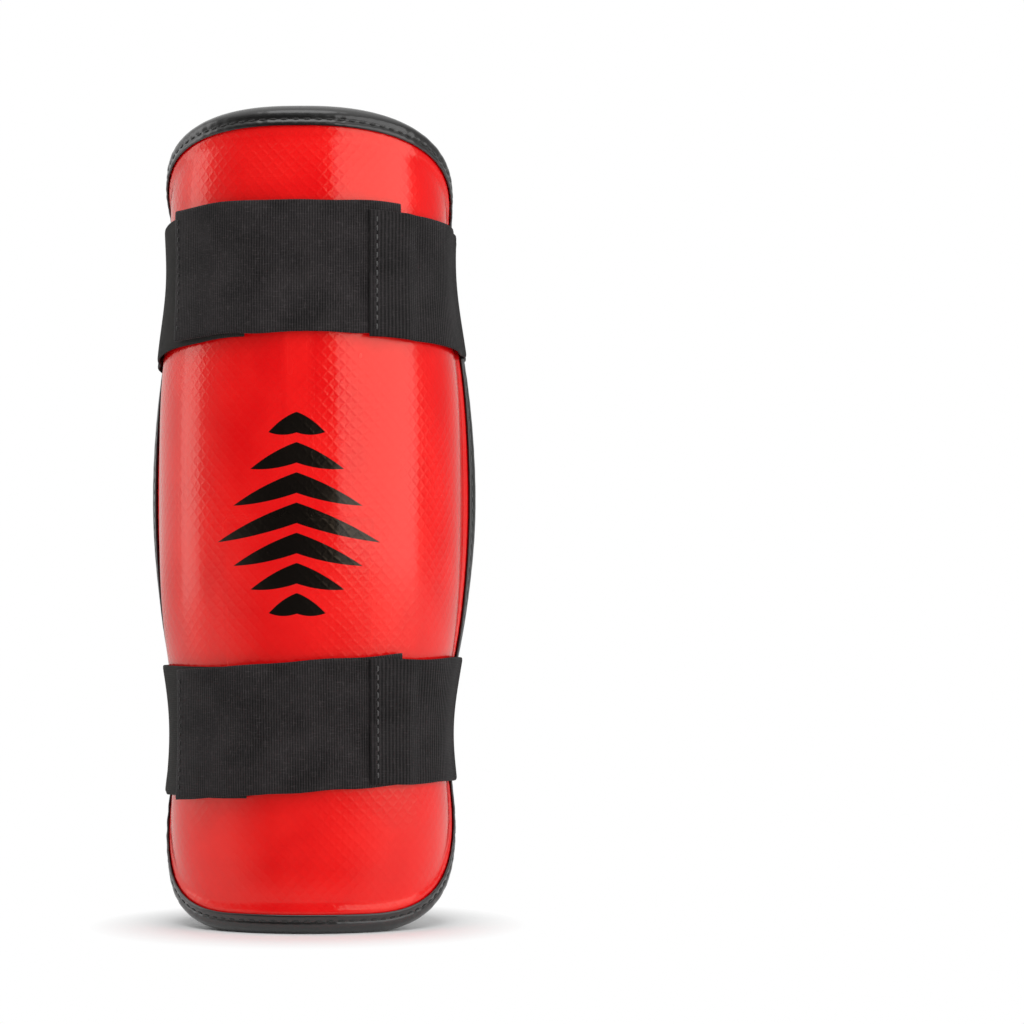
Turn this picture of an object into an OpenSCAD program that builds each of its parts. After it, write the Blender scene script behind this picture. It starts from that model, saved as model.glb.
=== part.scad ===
// Padded shin guard for sparring, with two hook and loop straps closed over its front.
// A half tube of foam between a glossy cover and a fabric lining, bound all round its edge.
// +Z runs up the leg and the front faces -Y. The guard stands on its bottom edge at z = 0,
// and the origin is the middle of that edge, under the front line.
// A place on the shell is given as (a, z, n): a is the distance round the shell from the front
// line, positive to +X, z is the height, and n is the distance outwards from the full outer face.

/* [Shell] */
// Height of the guard along the shin
guard_height = 315; // [285:1:350]
// Distance round the outside from the front line to a back edge
half_girth = 110; // [106:1:118]
// How much shorter that distance is at the ankle
ankle_take_in = 20; // [0:1:24]
// Outer radius round the shin
shell_radius = 60.5; // [56:0.5:65]
// Thickness of the whole pad away from its edges
pad_thickness = 13; // [12:0.5:16]
// Thickness of the pad inside the binding
edge_thickness = 7; // [6:0.5:8]
// How far the outer face falls towards the binding
edge_fall = 5; // [3:0.5:6]
// Width of the bevel that leads down to the binding
bevel_width = 45; // [30:1:50]
// Depth of the flat worn into the bottom edge, on which the guard stands
foot_cut = 0.5; // [0.3:0.1:0.8]

/* [Outline] */
// Half length of the level stretch of the top edge
top_flat = 4; // [0:1:30]
// Height of the rounded top corners
top_corner = 75; // [60:1:95]
// Half length of the level stretch of the bottom edge
bottom_flat = 28; // [20:1:40]
// Height of the rounded bottom corners
bottom_corner = 48; // [44:1:60]
// Roundness of the corners, where 2 gives an ellipse
corner_power = 2.25; // [2:0.05:2.6]

/* [Form] */
// Angle by which the sides open out towards the back
side_flare = 3; // [0:0.5:6]
// How far the back edges spring outwards at mid height, between the straps
edge_lip = 4; // [0:0.25:5]
// Width of that outward curve
lip_width = 20; // [16:1:30]
// How far the outer face falls towards the binding at mid height
side_fall = 1; // [0.5:0.25:3]
// How far a strap pulls the sides in
strap_squeeze = 5.5; // [0:0.25:6.5]
// Height over which a strap's pull fades away
squeeze_reach = 30; // [25:1:40]
// Height over which the outward curve of the back edges fades away
lip_reach = 60; // [45:1:75]
// How far the front line leans back at the top
top_lean = 1.7; // [0:0.1:4]
// How far the front line leans back at the ankle
ankle_lean = 10.4; // [0:0.2:13]
// Height at which the guard starts to narrow towards the ankle
taper_height = 160; // [130:1:190]

/* [Layers] */
// Thickness of the glossy outer cover
cover_thickness = 1; // [0.8:0.1:1.4]
// Thickness of the soft foam next to the leg
comfort_thickness = 4; // [3:0.5:6]
// Thickness to which that foam is pressed inside the binding
comfort_edge = 1.5; // [1:0.1:2]
// Thickness of the fabric lining
lining_thickness = 0.8; // [0.5:0.1:1]
// Glue line between two layers
layer_gap = 0.1; // [0.05:0.05:0.2]

/* [Binding] */
// Width of the binding on each face of the pad
binding_width = 8; // [6:0.5:11]
// Thickness of the folded binding tape
binding_thickness = 1; // [0.8:0.1:1.3]
// Clearance between the binding and the pad's edge
binding_gap = 0.35; // [0.25:0.05:0.4]
// Radius of the binding's rolled edge
binding_roll = 2.5; // [1.5:0.1:3]

/* [Straps] */
// Width of the straps
strap_width = 50; // [40:1:52]
// Distance from the top edge down to the middle of the upper loop tape, on the front line
upper_drop = 62; // [58:1:80]
// Height of the middle of the lower loop tape on the front line
lower_height = 78; // [75:1:90]
// Angle by which the upper strap falls towards the back
upper_tilt = 5; // [0:0.5:6]
// Angle by which the lower strap falls towards the back
lower_tilt = 1.5; // [0:0.5:3]
// How far the upper elastic lies below the upper loop tape
upper_elastic_drop = 3; // [-3:0.5:4]
// How far the upper hook tape lies below the upper loop tape
upper_hook_drop = 0.5; // [-2:0.5:3]
// Angle by which the upper hook tape falls towards the back
upper_hook_tilt = 9; // [0:0.5:13]
// How far the lower elastic lies below the lower loop tape
lower_elastic_drop = -1.5; // [-3:0.5:2]
// How far the lower hook tape lies below the lower loop tape
lower_hook_drop = 1; // [-3:0.5:2]
// Slant of the lower loop tape, which falls towards its free end
lower_slant = 2.8; // [-3:0.2:4]
// Thickness of the ribbed elastic
elastic_thickness = 1.6; // [1.2:0.1:2]
// Thickness of the loop tape with its pile
loop_thickness = 1.8; // [1.4:0.1:2.2]
// Thickness of the hook tape with its hooks
hook_thickness = 2; // [1.5:0.1:2.4]
// Clearance between a strap and what it lies on
strap_gap = 0.5; // [0.4:0.1:0.8]
// Clearance between the hooks and the pile
grip_gap = 0.35; // [0.3:0.05:0.5]
// Distance from the front line to the free end of the elastic
elastic_end = 27; // [15:1:32]
// Length by which the loop tape is sewn under the elastic
lap_length = 14; // [9:1:18]
// Length of the loop tape from the elastic to its free end
tab_length = 79; // [65:1:88]
// Distance from the front line to the end of the hook tape
hook_end = 20; // [12:1:26]
// Length of strap sewn to the inside of the pad
root_length = 16; // [12:1:22]
// Slack of a strap's fold behind the back edge
fold_slack = 1.5; // [1:0.25:3]
// Corner radius of a strap's fold
fold_corner = 3.5; // [1:0.5:6]
// Half gap at a line where a strap bends
hinge_gap = 0.3; // [0.2:0.05:0.4]

/* [Thread] */
// Thickness of the sewing thread as it lies on the tape
thread_thickness = 0.2; // [0.15:0.05:0.2]
// Width of a row of stitches
thread_width = 0.8; // [0.6:0.1:1.2]
// Distance of a row of stitches from the edge it holds down
thread_inset = 2.5; // [2:0.25:4]
// Clearance between the thread and the tape
thread_gap = 0.15; // [0.1:0.05:0.15]

/* [Label] */
// Height of the bare side label
label_height = 28; // [20:1:34]
// Length of the label behind the back edge
label_length = 16; // [12:1:20]
// Thickness of the label's folded tape
label_thickness = 0.8; // [0.6:0.1:1]
// Distance from the middle between the straps down to the middle of the label
label_drop = 8.5; // [-2:0.5:18]
// Clearance between the label and the binding
label_gap = 0.8; // [0.7:0.05:0.9]

/* [Hidden] */

// Facets: columns from the front line to a back edge, rows up the shell, steps along and across straps
columns = 12;
rows = 24;
run_steps = 22;
fold_steps = 5;
width_steps = 4;
// Share of the rows that is spread evenly, the rest being drawn towards the edges
even_rows = 0.4;
// How far the loop tape rises over the end of the hook tape, and the elastic over the lap
ramp_length = 18;
lap_ramp = 8;
// How far a tape stays at one lift past the end of the piece under it, and how far before the
// binding a strap has fully risen, as a share of the binding's width
lap_margin = 1;
rise_share = 0.5;
lap_steps = 3;
leg_steps = 3;
// Share of a corner below which a place counts as deep inside the outline
deep_share = 0.01;
pad_inset = binding_thickness + binding_gap;
upper_height = guard_height - upper_drop;
// Each tape's height on the front line and its tilt
upper_elastic = [upper_height - upper_elastic_drop, [upper_tilt, 0]];
upper_loop = [upper_height, [upper_tilt, 0]];
upper_hook = [upper_height - upper_hook_drop, [upper_hook_tilt, 0]];
lower_elastic = [lower_height - lower_elastic_drop, [lower_tilt, 0]];
lower_loop = [lower_height, [lower_tilt, lower_slant]];
lower_hook = [lower_height - lower_hook_drop, [lower_tilt, 0]];
strap_middle = (upper_height + lower_height)/2;
label_z = strap_middle - label_drop;
lean_start = upper_height - strap_width/2;
// Lift of a strap over the binding, and the fold behind the edge: its middle and inner radius
over_binding = binding_gap + binding_thickness + strap_gap;
fold_outer = over_binding - edge_fall;
fold_inner = -edge_fall - edge_thickness - over_binding;
fold_middle = (fold_outer + fold_inner)/2;
fold_radius = (fold_outer - fold_inner)/2;
// Lift of the elastic over the lap, and of the loop tape over the hook tape
lap_lift = strap_gap + loop_thickness + layer_gap;
grip_lift = strap_gap + hook_thickness + grip_gap;

function lerp(from, to, t) = from + (to - from)*t;
function smooth(t) = let (c = min(1, max(0, t))) c*c*(3 - 2*c);
function bell(x) = exp(-x*x);

// How the shell's section changes with height
function taper(z) = smooth(1 - z/taper_height);
function girth_at(z) = half_girth - ankle_take_in*taper(z);
function pull_at(z) = bell((z - upper_height)/squeeze_reach) + bell((z - lower_height)/squeeze_reach);
function radius_at(z) = shell_radius - strap_squeeze*pull_at(z);
function lip_at(z) = bell((z - strap_middle)/lip_reach);
function fall_at(z) = lerp(edge_fall, side_fall, lip_at(z));
function top_lean_at(z) = top_lean*smooth((z - lean_start)/(guard_height - lean_start));
function front_y(z) =
    top_lean_at(z) + ankle_lean*(taper(z) - taper(0)) - edge_fall - edge_thickness/2;

// The point at (a, z, n): an arc round the shin that runs on into straight, flared sides
function skin(a, z, n) =
    let (r = radius_at(z),
         turn = 90 - side_flare,
         arc = r*turn*PI/180,
         angle = min(abs(a)/arc, 1)*turn,
         straight = max(0, abs(a) - arc),
         out = r + n + edge_lip*lip_at(z)*pow(min(1, straight/lip_width), 2),
         x = out*sin(angle) + straight*sin(side_flare),
         y = front_y(z) + r - out*cos(angle) + straight*cos(side_flare))
    [a < 0 ? -x : x, y, z];

// The outline's corners, as shares of their width and height at (a, z)
function is_top(z) = z > guard_height/2;
function corner_flat(z) = is_top(z) ? top_flat : bottom_flat;
function corner_rise(z) = is_top(z) ? top_corner : bottom_corner;
function corner_run(z) = girth_at(z) - corner_flat(z);
function corner_across(a, z) = max(0, abs(a) - corner_flat(z))/corner_run(z);
function corner_up(z) = max(0, 1 - (is_top(z) ? guard_height - z : z + foot_cut)/corner_rise(z));
function corner_slope(a, z) =
    [pow(corner_across(a, z), corner_power - 1)/corner_run(z),
     pow(corner_up(z), corner_power - 1)/corner_rise(z)];
function corner_share(a, z) =
    pow(pow(corner_across(a, z), corner_power) + pow(corner_up(z), corner_power), 1/corner_power);

// Distance from (a, z) to the outline, and the way inwards from a point on the outline
function edge_distance(a, z) =
    let (share = corner_share(a, z))
    share < deep_share ? min(corner_run(z), corner_rise(z))
                       : (1 - share)*pow(share, corner_power - 1)/norm(corner_slope(a, z));
function inwards(a, z) =
    let (slope = corner_slope(a, z))
    [a < 0 ? slope[0] : -slope[0], is_top(z) ? -slope[1] : slope[1]]/norm(slope);

// The pad's faces, which close up towards the edge, at a given distance from it
function bevel(edge) = pow(max(0, 1 - max(0, edge)/bevel_width), 2);
function outer_face(edge, z) = -fall_at(z)*bevel(edge);
function inner_face(edge, z) = lerp(-pad_thickness, -fall_at(z) - edge_thickness, bevel(edge));

// Levels through the pad from the outer face to the inner one: cover, impact foam, comfort foam, lining
function levels(edge, z) =
    let (out = outer_face(edge, z),
         in = inner_face(edge, z),
         lining = in + lining_thickness,
         comfort = lining + layer_gap + lerp(comfort_thickness, comfort_edge, bevel(edge)))
    [out, out - cover_thickness, out - cover_thickness - layer_gap, comfort + layer_gap,
     comfort, lining + layer_gap, lining, in];

// The outline: top and bottom edges by column, and the side edges by row
function column_share(i) = sin(90*i/columns);
function corner_drop(share, flat, girth) =
    1 - pow(1 - pow(max(0, abs(share)*girth - flat)/(girth - flat), corner_power), 1/corner_power);
function top_edge(i) =
    let (z = guard_height - top_corner*corner_drop(column_share(i), top_flat, half_girth))
    [column_share(i)*girth_at(z), z];
function bottom_edge(i) =
    let (z = bottom_corner*corner_drop(column_share(i), bottom_flat, girth_at(0)) - foot_cut)
    [column_share(i)*girth_at(z), z];
function inset(edge_point, distance) = edge_point + distance*inwards(edge_point[0], edge_point[1]);
function row_share(j) = lerp((1 - cos(180*j/rows))/2, j/rows, even_rows);

// One place of the pad's grid, between the top and bottom edges of its column
function pad_place(i, j) =
    let (low = inset(bottom_edge(i), pad_inset),
         high = inset(top_edge(i), pad_inset),
         z = lerp(low[1], high[1], row_share(j)),
         share = lerp(low[0]/girth_at(low[1]), high[0]/girth_at(high[1]), row_share(j)))
    [share*girth_at(z), z];
pad_places = [for (i = [-columns:columns]) [for (j = [0:rows]) pad_place(i, j)]];

// A closed solid between two grids of points, the outer one seen with its rows up and columns right
module slab(outer, inner) {
    u = len(outer) - 1;
    v = len(outer[0]) - 1;
    points = [for (grid = [outer, inner]) for (column = grid) for (point = column) point];
    function at(i, j, face) = (face*(u + 1) + i)*(v + 1) + j;
    function quad(a, b, c, d) = [[a, b, c], [a, c, d]];
    faces = [
        for (i = [0:u - 1]) for (j = [0:v - 1])
            each quad(at(i, j, 0), at(i, j + 1, 0), at(i + 1, j + 1, 0), at(i + 1, j, 0)),
        for (i = [0:u - 1]) for (j = [0:v - 1])
            each [[at(i, j, 1), at(i + 1, j + 1, 1), at(i, j + 1, 1)],
                  [at(i, j, 1), at(i + 1, j, 1), at(i + 1, j + 1, 1)]],
        for (i = [0:u - 1])
            each quad(at(i, 0, 0), at(i + 1, 0, 0), at(i + 1, 0, 1), at(i, 0, 1)),
        for (i = [0:u - 1])
            each quad(at(i + 1, v, 0), at(i, v, 0), at(i, v, 1), at(i + 1, v, 1)),
        for (j = [0:v - 1])
            each quad(at(0, j + 1, 0), at(0, j, 0), at(0, j, 1), at(0, j + 1, 1)),
        for (j = [0:v - 1])
            each quad(at(u, j, 0), at(u, j + 1, 0), at(u, j + 1, 1), at(u, j, 1))];
    polyhedron(points, faces);
}

// A closed tube through rings of points, whose last ring meets the first
module closed_sweep(rings) {
    n = len(rings);
    m = len(rings[0]);
    points = [for (ring = rings) for (point = ring) point];
    function at(i, k) = (i % n)*m + k % m;
    faces = [for (i = [0:n - 1]) for (k = [0:m - 1])
        each [[at(i, k), at(i, k + 1), at(i + 1, k + 1)], [at(i, k), at(i + 1, k + 1), at(i + 1, k)]]];
    polyhedron(points, faces);
}

// One layer of the pad, between two of its levels
module layer(top, bottom) {
    function grid(level) =
        [for (i = [0:2*columns]) [for (j = [0:rows])
            let (place = pad_places[i][j])
            skin(place[0], place[1], levels(edge_distance(place[0], place[1]), place[1])[level])]];
    slab(grid(top), grid(bottom));
}

module outer_cover() {
    color("#d81f26") layer(0, 1);
}

module impact_foam() {
    color("#d9d2c0") layer(2, 3);
}

module comfort_foam() {
    color("#b9bcc0") layer(4, 5);
}

module inner_lining() {
    color("#1d1d1f") layer(6, 7);
}

// The binding's section at a point of the outline: two legs and a rolled edge round the pad's edge
function binding_point(edge_point, inward, distance, outer, lift) =
    let (place = edge_point + distance*inward,
         edge = edge_distance(place[0], place[1]),
         n = outer ? outer_face(edge, place[1]) + lift : inner_face(edge, place[1]) - lift,
         point = skin(place[0], place[1], n))
    [point[0], point[1], max(0, point[2])];
function binding_ring(edge_point) =
    let (inward = inwards(edge_point[0], edge_point[1]),
         lift = binding_gap + binding_thickness,
         rolls = [for (t = [0, 45, 90]) [binding_roll*(1 - sin(t)), lift - binding_roll*(1 - cos(t))]])
    [binding_point(edge_point, inward, binding_width, true, binding_gap),
     binding_point(edge_point, inward, binding_width, true, lift),
     for (roll = rolls) binding_point(edge_point, inward, roll[0], true, roll[1]),
     for (k = [2:-1:0]) binding_point(edge_point, inward, rolls[k][0], false, rolls[k][1]),
     binding_point(edge_point, inward, binding_width, false, lift),
     binding_point(edge_point, inward, binding_width, false, binding_gap),
     binding_point(edge_point, inward, pad_inset - binding_gap, false, binding_gap),
     binding_point(edge_point, inward, pad_inset - binding_gap, true, binding_gap)];

side_rows =
    [for (j = [1:rows - 1]) lerp(bottom_corner - foot_cut, guard_height - top_corner, row_share(j))];
outline = [
    for (i = [-columns:columns]) top_edge(i),
    for (j = [rows - 2:-1:0]) [girth_at(side_rows[j]), side_rows[j]],
    for (i = [columns:-1:-columns]) bottom_edge(i),
    for (j = [0:rows - 2]) [-girth_at(side_rows[j]), side_rows[j]]];

module edge_binding() {
    color("#2b2b2a")
        closed_sweep([for (edge_point = outline) binding_ring(edge_point)]);
}

// The row of stitches that holds the binding down, as one thread all round its outer leg
function thread_ring(edge_point) =
    let (inward = inwards(edge_point[0], edge_point[1]),
         near = binding_width - thread_inset - thread_width/2,
         far = near + thread_width,
         low = binding_gap + binding_thickness + thread_gap,
         high = low + thread_thickness)
    [for (corner = [[far, low], [far, high], [near, high], [near, low]])
        binding_point(edge_point, inward, corner[0], true, corner[1])];

module binding_thread() {
    color("#3a3a38")
        closed_sweep([for (edge_point = outline) thread_ring(edge_point)]);
}

// The bare label, sewn into the binding behind the back edge on the +X side
module side_label() {
    start = girth_at(label_z) + label_gap;
    middle = outer_face(0, label_z) - edge_thickness/2;
    function face(n) =
        [for (a = [start, start + label_length])
            [for (z = [label_z - label_height/2, label_z + label_height/2]) skin(a, z, n)]];
    color("#2a1a1d")
        slab(face(middle + label_thickness/2), face(middle - label_thickness/2));
}

// A strap's tilt is [its fall towards the back, its slant along its length].
// A strap's path is a list of stations [a, n, a, n, follows] for its outer and inner faces, where
// follows is 1 where n counts from the pad's own outer face and 0 where it counts from the shell
function strap_depth(a, height, n) = skin(a, height, n)[1] - front_y(height);
function strap_z(a, n, height, tilt) =
    height - tan(tilt[0])*strap_depth(a, height, n) + tan(tilt[1])*a;
function side_part(a, height) = smooth(strap_depth(a, height, 0)/shell_radius);
function strap_point(a, n, follows, across, height, tilt) =
    let (middle = strap_z(a, n, height, tilt),
         z = middle + across,
         straight = a - side_part(a, height)*(front_y(z) - front_y(middle)))
    skin(straight, z, n + follows*outer_face(edge_distance(straight, z), z));

// The place round the shell where a strap has passed the back edge over its whole width
function fold_start(height, tilt) =
    let (middle = strap_z(half_girth, fold_outer, height, tilt),
         high = middle + strap_width/2)
    girth_at(high) + front_y(high) - front_y(middle) + fold_slack;
function fold_back(height, tilt, thickness) = fold_start(height, tilt) + fold_radius + thickness;

// Half the strap's width at a station, rounded off towards the fold's rearmost line
function half_width(a, back) =
    let (past = max(0, a - (back - fold_corner))/fold_corner)
    strap_width/2 - fold_corner*(1 - sqrt(max(0, 1 - past*past)));

module strap(path, height, tilt, back = 1e6) {
    function face(k) =
        [for (station = path)
            let (half = half_width(station[0], back))
            [for (j = [0:width_steps])
                strap_point(station[2*k], station[2*k + 1], station[4],
                            lerp(-half, half, j/width_steps), height, tilt)]];
    slab(face(0), face(1));
}

// Stations round the fold, from angle to angle, where 90 is on the outside of the pad
function fold_path(start, thickness, from, to) =
    [for (k = [0:fold_steps])
        let (angle = lerp(from, to, k/fold_steps), wide = fold_radius + thickness)
        [start + wide*cos(angle), fold_middle + wide*sin(angle),
         start + fold_radius*cos(angle), fold_middle + fold_radius*sin(angle), 0]];
// A station on the pad's outer face, at a lift above it
function lay(a, lift, thickness) = [a, lift + thickness, a, lift, 1];
function hinge_angle(thickness) = asin(hinge_gap/(fold_radius + thickness));

// The end that is sewn inside the back edge, and the half of the fold that stays with it
module strap_root(height, tilt, thickness) {
    start = fold_start(height, tilt);
    inside = [start, fold_inner - thickness, start, fold_inner, 0];
    sewn = [start - fold_slack - root_length, fold_inner - thickness,
            start - fold_slack - root_length, fold_inner, 0];
    legs = [for (k = [1:leg_steps]) lerp(inside, sewn, k/leg_steps)];
    strap(concat(fold_path(start, thickness, -hinge_angle(thickness), -90), legs),
          height, tilt, fold_back(height, tilt, thickness));
}

// The free strap: over the pad from one end to the back edge, then the other half of the fold
module strap_run(height, tilt, thickness, end, end_lift, end_length, end_ramp) {
    start = fold_start(height, tilt);
    edge = start - fold_slack - binding_width;
    function lift(a) =
        max(lerp(end_lift, strap_gap, smooth((a - end - end_length)/end_ramp)),
            lerp(strap_gap, over_binding, smooth((a - edge)/binding_width + 1 + rise_share)));
    over = [for (k = [0:run_steps - 1]) let (a = lerp(end, start, k/run_steps)) lay(a, lift(a), thickness)];
    strap(concat(over, fold_path(start, thickness, 90, hinge_angle(thickness))),
          height, tilt, fold_back(height, tilt, thickness));
}

module elastic_strap(height, tilt) {
    color("#2a2626")
        strap_run(height, tilt, elastic_thickness, elastic_end, lap_lift, lap_length + lap_margin, lap_ramp);
}

module elastic_root(height, tilt) {
    color("#2a2626") strap_root(height, tilt, elastic_thickness);
}

// The sewn end of the loop tape, flat on the cover under the elastic
module loop_lap(height, tilt) {
    color("#322d2e")
        strap([for (k = [0:lap_steps]) lay(lerp(elastic_end, elastic_end + lap_length, k/lap_steps),
                                           strap_gap, loop_thickness)], height, tilt);
}

// The row of stitches that holds the loop tape under the end of the elastic
module lap_thread(height, tilt) {
    near = elastic_end + thread_inset - thread_width/2;
    low = lap_lift + elastic_thickness + thread_gap;
    half = strap_width/2 - thread_inset;
    function face(lift) =
        [for (a = [near, near + thread_width])
            [for (j = [0:width_steps])
                strap_point(a, lift, 1, lerp(-half, half, j/width_steps), height, tilt)]];
    color("#8d8d8c")
        slab(face(low + thread_thickness), face(low));
}

// The free end of the loop tape, lying over the end of the hook tape
module loop_tab(height, tilt) {
    start = elastic_end - 2*hinge_gap;
    free = start - tab_length;
    full = -hook_end + lap_margin;
    function lift(a) = lerp(grip_lift, strap_gap, smooth((a - full)/ramp_length));
    color("#322d2e")
        strap([for (k = [0:run_steps]) let (a = lerp(free, start, k/run_steps))
                  lay(a, lift(a), loop_thickness)], height, tilt);
}

// The hook tape comes round the other side, with its hooks outwards
module hook_strap(height, tilt) {
    color("#211f1f")
        mirror([1, 0, 0])
            strap_run(height, tilt, hook_thickness, hook_end, strap_gap, 0, lap_ramp);
}

module hook_root(height, tilt) {
    color("#211f1f")
        mirror([1, 0, 0]) strap_root(height, tilt, hook_thickness);
}

outer_cover();
impact_foam();
comfort_foam();
inner_lining();
edge_binding();
binding_thread();
side_label();
elastic_root(upper_elastic[0], upper_elastic[1]);  // upper_elastic_root
elastic_strap(upper_elastic[0], upper_elastic[1]);  // upper_elastic_strap
loop_lap(upper_loop[0], upper_loop[1]);  // upper_loop_lap
loop_tab(upper_loop[0], upper_loop[1]);  // upper_loop_tab
hook_root(upper_hook[0], upper_hook[1]);  // upper_hook_root
hook_strap(upper_hook[0], upper_hook[1]);  // upper_hook_strap
lap_thread(upper_elastic[0], upper_elastic[1]);  // upper_lap_thread
elastic_root(lower_elastic[0], lower_elastic[1]);  // lower_elastic_root
elastic_strap(lower_elastic[0], lower_elastic[1]);  // lower_elastic_strap
loop_lap(lower_loop[0], lower_loop[1]);  // lower_loop_lap
loop_tab(lower_loop[0], lower_loop[1]);  // lower_loop_tab
hook_root(lower_hook[0], lower_hook[1]);  // lower_hook_root
hook_strap(lower_hook[0], lower_hook[1]);  // lower_hook_strap
lap_thread(lower_elastic[0], lower_elastic[1]);  // lower_lap_thread
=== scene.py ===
# %% [markdown]
# # A padded shin guard, piece by piece
# The guard is a half tube of foam in a glossy red cover. Its edge is bound with black tape, and two
# straps close over its front with hook and loop tape. The solids of every piece come packed as a
# frame. This lesson dresses that frame: it makes each piece again as the soft thing it is, gives it
# a finish and lets it ride on the body that carries it.

# %% Load the frame
import math

import bpy
import numpy as np
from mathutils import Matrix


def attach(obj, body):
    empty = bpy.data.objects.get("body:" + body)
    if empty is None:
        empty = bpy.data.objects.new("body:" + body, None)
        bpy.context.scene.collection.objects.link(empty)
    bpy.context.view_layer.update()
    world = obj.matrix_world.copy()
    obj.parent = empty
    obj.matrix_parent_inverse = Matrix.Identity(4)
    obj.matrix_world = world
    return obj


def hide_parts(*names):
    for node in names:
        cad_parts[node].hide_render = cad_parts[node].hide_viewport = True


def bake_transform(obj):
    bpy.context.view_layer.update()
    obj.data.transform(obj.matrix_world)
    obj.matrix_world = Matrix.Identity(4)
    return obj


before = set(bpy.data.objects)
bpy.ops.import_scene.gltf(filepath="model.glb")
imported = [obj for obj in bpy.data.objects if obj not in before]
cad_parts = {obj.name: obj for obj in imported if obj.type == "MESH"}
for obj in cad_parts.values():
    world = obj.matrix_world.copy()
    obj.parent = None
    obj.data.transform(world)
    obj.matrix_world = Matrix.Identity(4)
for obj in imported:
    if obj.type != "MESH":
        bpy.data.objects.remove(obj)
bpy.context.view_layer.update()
random = np.random.default_rng(7)

# %% [markdown]
# ## The camera
# The picture was taken from far away, level with the middle of the guard and a little to its right,
# so the right side shows more than the left one. A long lens keeps the perspective flat. The camera
# comes first, because every piece is then judged through it.

# %% Camera
CAMERA_PLACE = (0.1389, -1.4576, 0.1608)
CAMERA_TURN = math.radians(2.29)
LENS_MM = 134.6

camera_data = bpy.data.cameras.new("camera")
camera_data.lens = LENS_MM
camera_data.sensor_width = 36.0
camera = bpy.data.objects.new("camera", camera_data)
camera.location = CAMERA_PLACE
camera.rotation_euler = (math.pi / 2, 0.0, CAMERA_TURN)
bpy.context.collection.objects.link(camera)
bpy.context.scene.camera = camera
print("camera at", CAMERA_PLACE)

# %% [markdown]
# ## The shell's own coordinates
# Everything on the guard lies on one curved shell. A place is given by a, the distance round the
# shell from its front line, by z, the height, and by n, the distance outwards. The functions below
# turn these into points. They use the sizes that the solids were made from, in millimetres, so that
# each soft piece lands where its solid is.

# %% Sizes of the shell
GUARD_HEIGHT = 315.0
HALF_GIRTH = 110.0
ANKLE_TAKE_IN = 20.0
SHELL_RADIUS = 60.5
PAD_THICKNESS = 13.0
EDGE_THICKNESS = 7.0
EDGE_FALL = 5.0
SIDE_FALL = 1.0
BEVEL_WIDTH = 45.0
FOOT_CUT = 0.5
TOP_FLAT, TOP_CORNER = 4.0, 75.0
BOTTOM_FLAT, BOTTOM_CORNER = 28.0, 48.0
CORNER_POWER = 2.25
SIDE_FLARE = math.radians(3.0)
EDGE_LIP, LIP_WIDTH, LIP_REACH = 4.0, 20.0, 60.0
STRAP_SQUEEZE, SQUEEZE_REACH = 5.5, 30.0
TOP_LEAN, ANKLE_LEAN, TAPER_HEIGHT = 1.7, 10.4, 160.0
UPPER_HEIGHT, LOWER_HEIGHT, STRAP_WIDTH = 253.0, 78.0, 50.0
LEAN_START = UPPER_HEIGHT - STRAP_WIDTH / 2


def smooth(t):
    c = np.clip(t, 0.0, 1.0)
    return c * c * (3 - 2 * c)


def bell(x):
    return np.exp(-x * x)


def lerp(start, end, t):
    return start + (end - start) * t


def taper(z):
    return smooth(1 - z / TAPER_HEIGHT)


def girth_at(z):
    return HALF_GIRTH - ANKLE_TAKE_IN * taper(z)


def radius_at(z):
    pull = bell((z - UPPER_HEIGHT) / SQUEEZE_REACH) + bell((z - LOWER_HEIGHT) / SQUEEZE_REACH)
    return SHELL_RADIUS - STRAP_SQUEEZE * pull


def lip_at(z):
    return bell((z - (UPPER_HEIGHT + LOWER_HEIGHT) / 2) / LIP_REACH)


def fall_at(z):
    return lerp(EDGE_FALL, SIDE_FALL, lip_at(z))


def front_y(z):
    top = TOP_LEAN * smooth((z - LEAN_START) / (GUARD_HEIGHT - LEAN_START))
    return top + ANKLE_LEAN * (taper(z) - 1) - EDGE_FALL - EDGE_THICKNESS / 2


def skin(a, z, n):
    """The point at (a, z, n): an arc round the shin that runs on into straight, flared sides."""
    a, z, n = np.broadcast_arrays(np.asarray(a, float), np.asarray(z, float), np.asarray(n, float))
    r = radius_at(z)
    turn = math.pi / 2 - SIDE_FLARE
    angle = np.minimum(np.abs(a) / (r * turn), 1) * turn
    straight = np.maximum(0, np.abs(a) - r * turn)
    out = r + n + EDGE_LIP * lip_at(z) * np.minimum(1, straight / LIP_WIDTH) ** 2
    x = out * np.sin(angle) + straight * math.sin(SIDE_FLARE)
    y = front_y(z) + r - out * np.cos(angle) + straight * math.cos(SIDE_FLARE)
    return np.stack([np.where(a < 0, -x, x), y, z], -1)


print("front line at mid height:", skin(0, 160, 0).round(2))

# %% [markdown]
# The guard's outline is a rounded shape in (a, z). The pad gets thinner towards it, so each face of
# the pad is found from the distance to the outline.

# %% Outline and faces of the pad
DEEP_SHARE = 0.01


def corner(a, z):
    """At (a, z): the share of the way to the outline, its slope, the room inside, and top or not."""
    top = z > GUARD_HEIGHT / 2
    flat = np.where(top, TOP_FLAT, BOTTOM_FLAT)
    rise = np.where(top, TOP_CORNER, BOTTOM_CORNER)
    run = girth_at(z) - flat
    across = np.maximum(0, np.abs(a) - flat) / run
    up = np.maximum(0, 1 - np.where(top, GUARD_HEIGHT - z, z + FOOT_CUT) / rise)
    share = (across**CORNER_POWER + up**CORNER_POWER) ** (1 / CORNER_POWER)
    slope = np.stack([across ** (CORNER_POWER - 1) / run, up ** (CORNER_POWER - 1) / rise], -1)
    return share, slope, np.minimum(run, rise), top


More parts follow.
